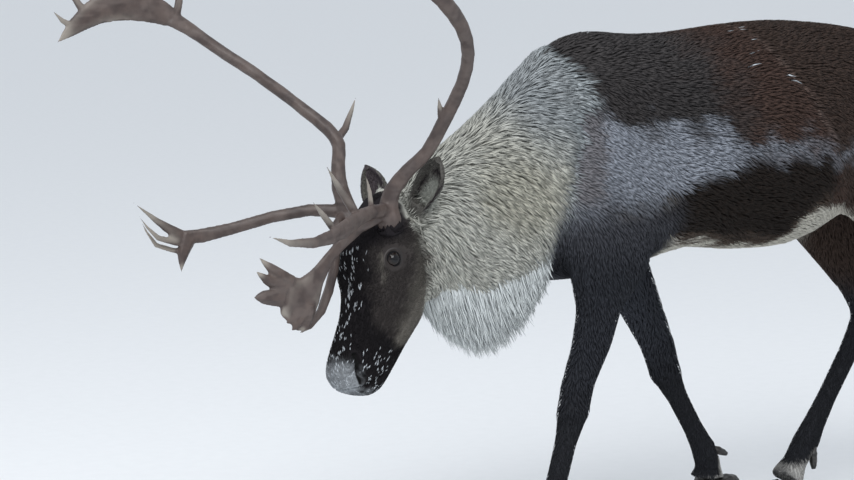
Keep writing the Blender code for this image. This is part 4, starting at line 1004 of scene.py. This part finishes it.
class Shader:
    """A material under construction."""

    def __init__(self, name):
        self.material = bpy.data.materials.new(name)
        self.material.use_nodes = True
        self.tree = self.material.node_tree
        self.surface = self.tree.nodes["Principled BSDF"]

    def node(self, kind, settings=None, inputs=(), output=0):
        """A node of a type, its settings and then the values or links of its sockets."""
        node = self.tree.nodes.new(kind)
        for name, value in (settings or {}).items():
            setattr(node, name, value)
        pairs = inputs.items() if isinstance(inputs, dict) else enumerate(inputs)
        for name, value in pairs:
            self.feed(node.inputs[name], value)
        return Value(self, node.outputs[output])

    def feed(self, socket, value):
        if isinstance(value, Value):
            self.tree.links.new(value.socket, socket)
        else:
            socket.default_value = value

    def set(self, **inputs):
        for name, value in inputs.items():
            self.feed(self.surface.inputs[name.replace("_", " ")], value)

    def attribute(self, name, output):
        return self.node("ShaderNodeAttribute", {"attribute_name": name}, (), output)

    def parts(self, vector):
        """The three numbers of a vector."""
        split = self.tree.nodes.new("ShaderNodeSeparateXYZ")
        self.feed(split.inputs[0], vector)
        return [Value(self, split.outputs[k]) for k in range(3)]

    def vector(self, x, y, z):
        return self.node("ShaderNodeCombineXYZ", None, (x, y, z))

    def noise(self, vector, scale, detail=3.0):
        return self.node("ShaderNodeTexNoise", None,
                         {"Vector": vector, "Scale": scale, "Detail": detail})

    def tint(self, one, two, share):
        """Two colours mixed by a share."""
        node = self.tree.nodes.new("ShaderNodeMix")
        node.data_type = "RGBA"
        self.feed(node.inputs[0], share)
        for k, colour in ((6, one), (7, two)):
            if isinstance(colour, Value):
                self.feed(node.inputs[k], colour)
            else:
                node.inputs[k].default_value = (*colour, 1.0)
        return Value(self, node.outputs[2])

    def scaled(self, colour, factor):
        """A colour made brighter or darker by a number."""
        return self.node("ShaderNodeVectorMath", {"operation": "SCALE"},
                         {0: colour, "Scale": factor}, 0)

    def place(self):
        """Object coordinates."""
        return self.node("ShaderNodeTexCoord", None, (), "Object")

    def bump(self, height, strength, distance):
        return self.node("ShaderNodeBump", None, {"Height": height, "Strength": strength,
                                                  "Distance": distance}, "Normal")


def coat_material():
    """Hair: the coat's own colour with fine strands along each lock."""
    shader = Shader("coat_hair")
    across, along, seed = shader.parts(shader.attribute("strand", "Vector"))
    thread = shader.noise(shader.vector(across * 9.0 + seed * 37.0, along * 0.9, seed * 11.0),
                          1.0, 4.0)
    colour = shader.attribute("coat_colour", "Color")
    shade = 0.84 + thread * 0.32
    shader.set(Base_Color=shader.scaled(colour, shade), Roughness=0.85,
               Normal=shader.bump(thread, 0.3, 0.0008))
    shader.surface.inputs["Specular IOR Level"].default_value = 0.12
    return shader.material


def skin_material():
    """Short hair close to the skin, darker than the coat over it."""
    shader = Shader("under_coat")
    place = shader.place()
    fine = shader.noise(place, 520.0, 3.0)
    broad = shader.noise(place, 60.0, 2.0)
    colour = shader.attribute("coat_colour", "Color")
    shade = 0.76 + fine * 0.4 + broad * 0.2
    shader.set(Base_Color=shader.scaled(colour, shade), Roughness=0.85,
               Normal=shader.bump(fine + broad * 0.5, 0.4, 0.0012))
    shader.surface.inputs["Specular IOR Level"].default_value = 0.12
    return shader.material


def antler_material():
    shader = Shader("antler_bone")
    place = shader.place()
    ridges = shader.attribute("ridges", "Fac")
    tip = shader.attribute("tip", "Fac")
    mottled = shader.noise(place, 34.0, 4.0)
    pits = shader.noise(place, 420.0, 3.0)
    dark = shader.tint((0.040, 0.027, 0.024), (0.078, 0.055, 0.047), mottled.ramp(0.35, 0.7))
    ridged = shader.tint(dark, (0.105, 0.082, 0.073), ridges.ramp(0.2, 1.0) * 0.6)
    colour = shader.tint(ridged, (0.40, 0.37, 0.32), tip * 0.45)
    shader.set(Base_Color=colour, Roughness=0.45 + pits * 0.2,
               Normal=shader.bump(ridges * 0.8 + pits * 0.25, 0.4, 0.001))
    return shader.material


def hoof_material():
    shader = Shader("hoof_horn")
    x, y, z = shader.parts(shader.place())
    place = shader.vector(x * 0.3, y * 0.3, z)
    rings = shader.noise(place, 260.0, 2.0)
    streaks = shader.noise(shader.place(), 90.0, 3.0)
    colour = shader.tint((0.010, 0.009, 0.009), (0.055, 0.050, 0.046), streaks.ramp(0.4, 0.8))
    shader.set(Base_Color=colour, Roughness=0.34 + streaks * 0.2,
               Normal=shader.bump(rings, 0.35, 0.0012))
    return shader.material


def eye_material():
    shader = Shader("eye_wet")
    off = shader.attribute("off_axis", "Fac")
    flecks = shader.noise(shader.place(), 700.0, 2.0)
    iris = shader.tint((0.006, 0.004, 0.004), (0.014, 0.009, 0.007), flecks)
    colour = shader.tint((0.003, 0.003, 0.004), iris, off.ramp(0.34, 0.42))
    colour = shader.tint(colour, (0.012, 0.008, 0.008), off.ramp(0.72, 0.80))
    shader.set(Base_Color=colour, Roughness=0.06)
    shader.surface.inputs["Specular IOR Level"].default_value = 0.2
    shader.surface.inputs["Coat Weight"].default_value = 0.25
    shader.surface.inputs["Coat Roughness"].default_value = 0.02
    return shader.material


# Operators, one for each group of pieces

SCENE = {}


def sizes_of(context, group):
    return getattr(context.scene.reindeer, group)


class REINDEER_OT_skin(bpy.types.Operator):
    """Make one skin over the flesh, inside the coat's surface"""

    bl_idname = "reindeer.skin"
    bl_label = "Skin"

    def execute(self, context):
        skin, nodes, node_regions = make_skin(sizes_of(context, "skin"))
        colours = sizes_of(context, "colours")
        pelt = Pelt(skin, nodes, node_regions, colours)
        give_colour(skin, markings_at(pelt))
        skin.data.materials.clear()
        SCENE["skin"] = skin_material()
        skin.data.materials.append(SCENE["skin"])
        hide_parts(*FLESH)
        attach(skin, "root")
        SCENE["pelt"] = pelt
        return {"FINISHED"}


def markings_at(pelt):
    return markings(pelt.surface.points, pelt.normals, pelt.regions, pelt.colours)


# For each region: how far apart the tufts stand, half their breadth and how high they rise
TUFT_SPACING = np.array([0.0032, 0.0054, 0.0058, 0.009, 0.0030, 0.0052, 0.0040])
TUFT_HALF = np.array([0.0008, 0.0017, 0.0018, 0.003, 0.0007, 0.0016, 0.0011])
TUFT_DEPTH = np.array([0.0017, 0.010, 0.0075, 0.010, 0.0010, 0.0060, 0.0022])
TAIL_HAIR, EAR_HAIR = 0.06, 0.010
TUFT_RISE = (-0.25, 0.72, 0.92)     # height at root, middle and tip, as shares of the depth
TUFT_TAPER = np.array((0.8, 1.0, 0.0))
TUFT_FLAT = 0.45
REAR_FROM = 0.12                    # the coat's pieces are parted across the trunk here


def coat_pieces(pelt, sizes, draw):
    """Tufts over the whole skin, in pieces by region and side."""
    by_region = {
        "spacing": TUFT_SPACING,
        "length": np.array([sizes.face_hair, sizes.neck_hair, sizes.trunk_hair, TAIL_HAIR,
                            EAR_HAIR, sizes.thigh_hair, sizes.leg_hair]),
        "half": TUFT_HALF,
        "depth": TUFT_DEPTH,
    }
    at_vertex = {name: pelt.regions @ values for name, values in by_region.items()}
    spacing = at_vertex["spacing"] * (1 + 60 * pelt.bare)
    own = head_places(pelt.surface.points)
    mouth = ramp(own[:, 2], 0.47, 0.43) * pelt.regions[:, 0]
    spacing = spacing * (1 - 0.2 * mouth)
    places, faces, weights = pelt.sow(spacing, draw)
    count = len(places)
    length = pelt.at(at_vertex["length"], faces, weights) * draw.uniform(0.75, 1.2, count)
    half = pelt.at(at_vertex["half"], faces, weights) * draw.uniform(0.8, 1.2, count)
    depth = pelt.at(at_vertex["depth"], faces, weights)
    muzzle = 1 - 0.6 * pelt.at(mouth, faces, weights)
    turn = draw.normal(0, 0.13, count)
    spines, outward = pelt.comb(places, faces, weights, length * muzzle, depth * muzzle,
                                TUFT_RISE, turn, draw)
    halves = half[:, None] * TUFT_TAPER
    colour = pelt.at(SCENE["marks"], faces, weights)
    frosted = flecks(places, head_places(places), pelt.at(pelt.regions, faces, weights), draw)
    colour[frosted] = np.array(pelt.colours.frost) * draw.uniform(0.45, 0.9, (frosted.sum(), 1))
    halves[frosted] *= 1.25
    shade = np.exp(draw.normal(0, 0.06, count))[:, None]
    roots = np.clip(colour * shade * 0.88, 0, 0.9)
    tips = np.clip(colour * shade * 1.05, 0, 0.9)
    thick = halves * TUFT_FLAT
    seeds = draw.uniform(0, 1, count)
    spots = pelt.chart.spot(places)
    region = pelt.at(pelt.regions, faces, weights).argmax(axis=1)
    side = np.where(places[:, 1] < 0, 0, 1)
    rear = (places[:, 0] > REAR_FROM).astype(int)
    names = {}
    for r, part in enumerate(("head", "neck", "trunk", "tail", "head", "thigh", "shank")):
        for s, side_name in enumerate(SIDES):
            for b, end in enumerate(("fore", "rear")):
                chosen = (region == r) & (side == s) & (rear == b)
                key = f"coat_{part}_{side_name}" if part in ("head", "neck", "tail") else \
                    f"coat_{part}_{end}_{side_name}"
                names.setdefault(key, np.zeros(count, bool))
                names[key] |= chosen
    pieces = []
    for name, chosen in names.items():
        if chosen.sum():
            pieces.append(lock_mesh(name, spines[chosen], outward[chosen], halves[chosen],
                                    thick[chosen], roots[chosen], tips[chosen], seeds[chosen],
                                    spots[chosen]))
    return pieces


class REINDEER_OT_coat(bpy.types.Operator):
    """Lay the coat's tufts over the skin"""

    bl_idname = "reindeer.coat"
    bl_label = "Coat"

    def execute(self, context):
        pelt = SCENE["pelt"]
        SCENE["marks"] = markings_at(pelt)
        draw = np.random.default_rng(21)
        material = coat_material()
        SCENE["hair"] = material
        for piece in coat_pieces(pelt, sizes_of(context, "coat"), draw):
            piece.data.materials.append(material)
            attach(piece, "root")
        return {"FINISHED"}


MANE_FROM, MANE_TO = 5.6, 2.1
MANE_SPREAD = math.radians(74)
MANE_RISE, MANE_FALL = 0.10, 0.82


def mane_piece(sizes, pelt, draw):
    """Long soft locks that hang from the underside of the neck."""
    count = sizes.mane_locks
    place = draw.uniform(0, 1, count)
    spread_out = draw.uniform(-1, 1, count)
    root = np.array([neck_point(MANE_FROM + (MANE_TO - MANE_FROM) * p,
                                math.pi + MANE_SPREAD * s) for p, s in zip(place, spread_out)])
    centre = np.array([(neck_point(MANE_FROM + (MANE_TO - MANE_FROM) * p, 0)
                        + neck_point(MANE_FROM + (MANE_TO - MANE_FROM) * p, math.pi)) / 2
                       for p in place])
    outward = unit(root - centre)
    swell = np.sin(math.pi * (MANE_RISE + MANE_FALL * place))
    length = (0.035 + (sizes.mane_hair - 0.035) * swell) * (1 - 0.35 * spread_out ** 2)
    length = length * draw.uniform(0.75, 1.12, count)
    way = np.stack([0.24 + draw.normal(0, 0.05, count),
                    -outward[:, 1] * 0.12 + draw.normal(0, 0.05, count),
                    -0.95 + np.zeros(count)], axis=1)
    way = unit(way + outward * 0.10)
    bend = np.stack([0.20 + draw.normal(0, 0.07, count), -outward[:, 1] * 0.20,
                     np.zeros(count)], axis=1)
    steps = np.array((0.0, 0.2, 0.42, 0.64, 0.84, 1.0))
    start = root - outward * 0.016
    wave = waves(root, 0.03, 12)
    spines = np.stack([start + way * (length * t)[:, None] + bend * (length * t * t)[:, None]
                       + (np.cross(way, outward) * (wave * 0.006 * math.sin(3.0 * t))[:, None])
                       for t in steps], axis=1)
    out = np.repeat(outward[:, None, :], len(steps), axis=1)
    half = draw.uniform(0.0013, 0.0024, count)[:, None] * np.array((0.8, 1.0, 0.95, 0.8, 0.5, 0))
    colour = np.tile(np.array(pelt.colours.mane), (count, 1))
    colour = colour * np.exp(draw.normal(0, 0.07, count))[:, None]
    return lock_mesh("throat_mane", spines, out, half, half * 0.6, colour * 0.90,
                     np.clip(colour * 1.05, 0, 0.9), draw.uniform(0, 1, count),
                     pelt.chart.spot(root))


class REINDEER_OT_mane(bpy.types.Operator):
    """Hang the throat mane under the neck"""

    bl_idname = "reindeer.mane"
    bl_label = "Throat mane"

    def execute(self, context):
        draw = np.random.default_rng(5)
        piece = mane_piece(sizes_of(context, "coat"), SCENE["pelt"], draw)
        piece.data.materials.append(SCENE["hair"])
        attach(piece, "root")
        return {"FINISHED"}


class REINDEER_OT_eyes(bpy.types.Operator):
    """Make both eyeballs, with their corneas"""

    bl_idname = "reindeer.eyes"
    bl_label = "Eyes"

    def execute(self, context):
        material = eye_material()
        for side, way in SIDES.items():
            select_none()
            bpy.ops.mesh.primitive_uv_sphere_add(segments=48, ring_count=32, radius=EYE_SIZE)
            ball = context.object
            ball.name = f"eyeball_{side}"
            look = FROM_HEAD.to_3x3() @ Vector((-0.30, way * 0.95, 0.04)).normalized()
            points = points_of(ball)
            facing = unit(points) @ np.array(look)
            level = np.array(look.cross(Vector((0, 0, 1))).normalized())
            rise = np.cross(level, np.array(look))
            off = np.hypot(unit(points) @ level * 0.72, unit(points) @ rise)
            off = np.where(facing > 0, off, 1.0)
            points = points * (1 + 0.05 * ramp(facing, 0.80, 0.95))[:, None]
            set_points(ball, points + np.array(middle(f"eye_{side}")))
            give_values(ball, "off_axis", off)
            ball.data.shade_smooth()
            ball.data.materials.append(material)
            lids = eyelids(side, way, SCENE["pelt"].surface.tree)
            lids.data.materials.append(SCENE["skin"])
            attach(lids, "root")
            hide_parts(f"eye_{side}")
            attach(ball, "root")
        return {"FINISHED"}


# An eyelid's section: away from the opening's edge and how proud it is, upper and lower
LID_SECTION = [(-0.0008, -0.0010, -0.0010), (-0.0010, 0.0004, 0.0004), (-0.0003, 0.0014, 0.0012),
               (0.0010, 0.0019, 0.0015), (0.0024, 0.0014, 0.0008), (0.0036, 0.0004, 0.0000),
               (0.0054, 0.0022, 0.0008), (0.0080, 0.0012, 0.0002), (0.0100, -0.0012, -0.0012),
               (0.0100, -0.0040, -0.0040), (0.0040, -0.0055, -0.0055), (-0.0006, -0.0030, -0.0030)]
LID_SIDES = 64
LID_REAR, LID_FRONT, LID_UPPER, LID_LOWER = 0.0148, 0.0165, 0.0122, 0.0112


def eyelids(side, way, skin):
    """One ring of skin round the eye: the lids' wet edge, the fold and the tear corner."""
    centre, look, rear, up = eye_ways(way)
    points, tones = [], []
    for i in range(LID_SIDES):
        turn = math.tau * i / LID_SIDES
        along, high = math.cos(turn), math.sin(turn)
        ray = rear * along + up * high
        wide = LID_REAR if along > 0 else LID_FRONT
        tall = LID_UPPER if high > 0 else LID_LOWER
        edge = ((abs(along) / wide) ** 1.75 + (abs(high) / tall) ** 1.75) ** (-1 / 1.75)
        for off, upper, lower in LID_SECTION:
            out = edge + off
            ball = math.sqrt(max(EYE_SIZE ** 2 - out ** 2, 0.00002))
            spot = centre + ray * out
            hit = skin.ray_cast(Vector(spot + look * 0.05), Vector(-look))[0]
            level = (np.array(hit) - spot) @ look if hit else ball
            share = float(ramp(np.array(off), 0.0005, 0.0080))
            proud = lower + (upper - lower) * (0.5 + 0.5 * high)
            points.append(spot + look * (ball + (level - ball) * share + proud))
            tones.append(ramp(np.array(off), 0.0030, 0.0060) * (0.35 + 0.65 * max(high, 0.0)))
    ring = len(LID_SECTION)
    faces = [(i * ring + k, i * ring + (k + 1) % ring,
              (i + 1) % LID_SIDES * ring + (k + 1) % ring, (i + 1) % LID_SIDES * ring + k)
             for i in range(LID_SIDES) for k in range(ring)]
    mesh = bpy.data.meshes.new(f"eyelids_{side}")
    mesh.from_pydata([tuple(p) for p in points], [], faces)
    bm = bmesh.new()
    bm.from_mesh(mesh)
    bmesh.ops.recalc_face_normals(bm, faces=bm.faces)
    bm.to_mesh(mesh)
    bm.free()
    piece = linked(f"eyelids_{side}", mesh)
    dark, pale = np.array((0.006, 0.006, 0.007)), np.array((0.070, 0.064, 0.062))
    give_colour(piece, mix(np.tile(dark, (len(points), 1)), pale, np.array(tones)))
    mesh.shade_smooth()
    return piece


def select_none():
    bpy.ops.object.select_all(action="DESELECT")


ANTLER_PARTS = ("base", "beam", "palm", "bez", "brow")
ANTLER_CELL = 0.0026
RIDGE_STEPS = 22
RIDGE_HIGH = 0.0010
TIP_THICK = (0.013, 0.006)          # bone thinner than this turns pale
HOOF_CELL = 0.0020
RING_SIZE, RING_HIGH = 0.009, 0.0006


class REINDEER_OT_antlers(bpy.types.Operator):
    """Make each antler one bone with ridges along it"""

    bl_idname = "reindeer.antlers"
    bl_label = "Antlers"

    def execute(self, context):
        material = antler_material()
        for side in SIDES:
            nodes = [f"antler_{side}_{part}" for part in ANTLER_PARTS]
            antler = copy_nodes(f"antler_{side}", nodes)
            remeshed(antler, ANTLER_CELL)
            edges = edges_of(antler)
            points = spread(points_of(antler), edges, 3)
            set_points(antler, points)
            normals = normals_of(antler)
            tree = BVHTree.FromPolygons(points.tolist(), triangles_of(antler).tolist())
            through = []
            for point, normal in zip(points.tolist(), normals.tolist()):
                inward = -Vector(normal)
                hit = tree.ray_cast(Vector(point) + inward * 0.0008, inward, 0.08)
                through.append(hit[3] or 0.02)
            through = spread(np.array(through), edges, 12)
            ridges = ridge_field(points, edges, np.array(middle(nodes[0])))
            lift = (ridges - 0.75) * RIDGE_HIGH * ramp(through, 0.006, 0.016)
            set_points(antler, points + normals * lift[:, None])
            give_values(antler, "ridges", ridges)
            give_values(antler, "tip", ramp(through, *TIP_THICK))
            antler.data.shade_smooth()
            antler.data.materials.clear()
            antler.data.materials.append(material)
            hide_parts(*nodes)
            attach(antler, "root")
        return {"FINISHED"}


def ridge_field(points, edges, start):
    """Noise drawn out along the bone, 0 to 1: each place follows the way back to the base."""
    near = [[] for _ in points]
    steps = np.linalg.norm(points[edges[:, 0]] - points[edges[:, 1]], axis=1)
    for (one, two), step in zip(edges.tolist(), steps.tolist()):
        near[one].append((two, step))
        near[two].append((one, step))
    before = np.arange(len(points))
    first = int(np.linalg.norm(points - start, axis=1).argmin())
    far = np.full(len(points), np.inf)
    far[first] = 0.0
    queue = [(0.0, first)]
    while queue:
        gone, here = heapq.heappop(queue)
        if gone > far[here]:
            continue
        for there, step in near[here]:
            if gone + step < far[there]:
                far[there] = gone + step
                before[there] = here
                heapq.heappush(queue, (gone + step, there))
    noise = waves(points, 0.011, 9) + 0.6 * waves(points, 0.006, 10)
    value, here = np.zeros(len(points)), np.arange(len(points))
    for _ in range(RIDGE_STEPS):
        value += noise[here]
        here = before[here]
    value = spread(value, edges, 2)
    low, high = np.percentile(value, (3, 97))
    return np.clip((value - low) / (high - low), 0, 1)


class REINDEER_OT_hooves(bpy.types.Operator):
    """Make each foot's hooves and dewclaws of worn horn"""

    bl_idname = "reindeer.hooves"
    bl_label = "Hooves"

    def execute(self, context):
        material = hoof_material()
        for leg in LEGS:
            nodes = [f"{leg}_{kind}_{part}" for kind in ("hoof", "dewclaw")
                     for part in ("outer", "inner")]
            hooves = copy_nodes(f"hooves_{leg}", nodes)
            remeshed(hooves, HOOF_CELL)
            edges = edges_of(hooves)
            points = spread(points_of(hooves), edges, 3)
            grown = RING_HIGH * waves(points * (0.3, 0.3, 1.0), RING_SIZE, 17)
            points = points + normals_of(hooves) * grown[:, None]
            points[:, 2] = np.maximum(points[:, 2], 0.0)
            set_points(hooves, points)
            hooves.data.shade_smooth()
            hooves.data.materials.clear()
            hooves.data.materials.append(material)
            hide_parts(*nodes)
            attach(hooves, "root")
        return {"FINISHED"}


class REINDEER_OT_stage(bpy.types.Operator):
    """Set the plain floor, the soft lights and the camera"""

    bl_idname = "reindeer.stage"
    bl_label = "Stage"

    def execute(self, context):
        sizes = sizes_of(context, "stage")
        select_none()
        bpy.ops.mesh.primitive_plane_add(size=60.0)
        floor = context.object
        floor.name = "floor"
        paper = Shader("pale_floor")
        grain = paper.noise(paper.place(), 30.0, 2.0)
        paper.set(Base_Color=paper.tint((0.80, 0.81, 0.82), (0.84, 0.85, 0.86), grain),
                  Roughness=0.9)
        floor.data.materials.append(paper.material)

        world = bpy.data.worlds.new("soft_sky")
        context.scene.world = world
        world.use_nodes = True
        world.node_tree.nodes["Background"].inputs["Color"].default_value = (0.86, 0.91, 0.97, 1)
        world.node_tree.nodes["Background"].inputs["Strength"].default_value = 0.85
        context.scene.view_settings.view_transform = "Standard"

        light = bpy.data.lights.new("key", "AREA")
        light.energy = sizes.key_light
        light.size = 4.0
        lamp = bpy.data.objects.new("key", light)
        lamp.location = (-3.0, -3.5, 5.0)
        lamp.rotation_euler = (-Vector(lamp.location)).to_track_quat("-Z", "Y").to_euler()
        context.scene.collection.objects.link(lamp)

        camera = bpy.data.objects.new("camera", bpy.data.cameras.new("camera"))
        camera.data.lens = sizes.lens
        camera.data.sensor_width = 36.0
        camera.data.clip_end = 100.0
        camera.location = middle("eye_left") + Vector(sizes.from_eye)
        camera.rotation_euler = (math.pi / 2 - sizes.elevation, 0.0, sizes.azimuth)
        context.scene.collection.objects.link(camera)
        context.scene.camera = camera
        return {"FINISHED"}


class Reindeer(bpy.types.PropertyGroup):
    """All that can be set."""

    skin: PointerProperty(type=SkinSizes)
    coat: PointerProperty(type=CoatSizes)
    colours: PointerProperty(type=CoatColours)
    stage: PointerProperty(type=StageSizes)


STEPS = ("skin", "coat", "mane", "eyes", "antlers", "hooves", "stage")


class REINDEER_PT_panel(bpy.types.Panel):
    """Lists the steps in their order"""

    bl_label = "Reindeer"
    bl_idname = "REINDEER_PT_panel"
    bl_space_type = "VIEW_3D"
    bl_region_type = "UI"
    bl_category = "Reindeer"

    def draw(self, context):
        for step in STEPS:
            self.layout.operator(f"reindeer.{step}")
        for group in ("skin", "coat", "colours", "stage"):
            box = self.layout.box()
            settings = getattr(context.scene.reindeer, group)
            for name in settings.__annotations__:
                box.prop(settings, name)


CLASSES = (SkinSizes, CoatSizes, CoatColours, StageSizes, Reindeer, REINDEER_OT_skin,
           REINDEER_OT_coat, REINDEER_OT_mane, REINDEER_OT_eyes, REINDEER_OT_antlers,
           REINDEER_OT_hooves, REINDEER_OT_stage, REINDEER_PT_panel)


def register():
    for cls in CLASSES:
        bpy.utils.register_class(cls)
    bpy.types.Scene.reindeer = PointerProperty(type=Reindeer)


def unregister():
    del bpy.types.Scene.reindeer
    for cls in reversed(CLASSES):
        bpy.utils.unregister_class(cls)


def main():
    register()
    for step in STEPS:
        getattr(bpy.ops.reindeer, step)()


if __name__ == "__main__":
    main()
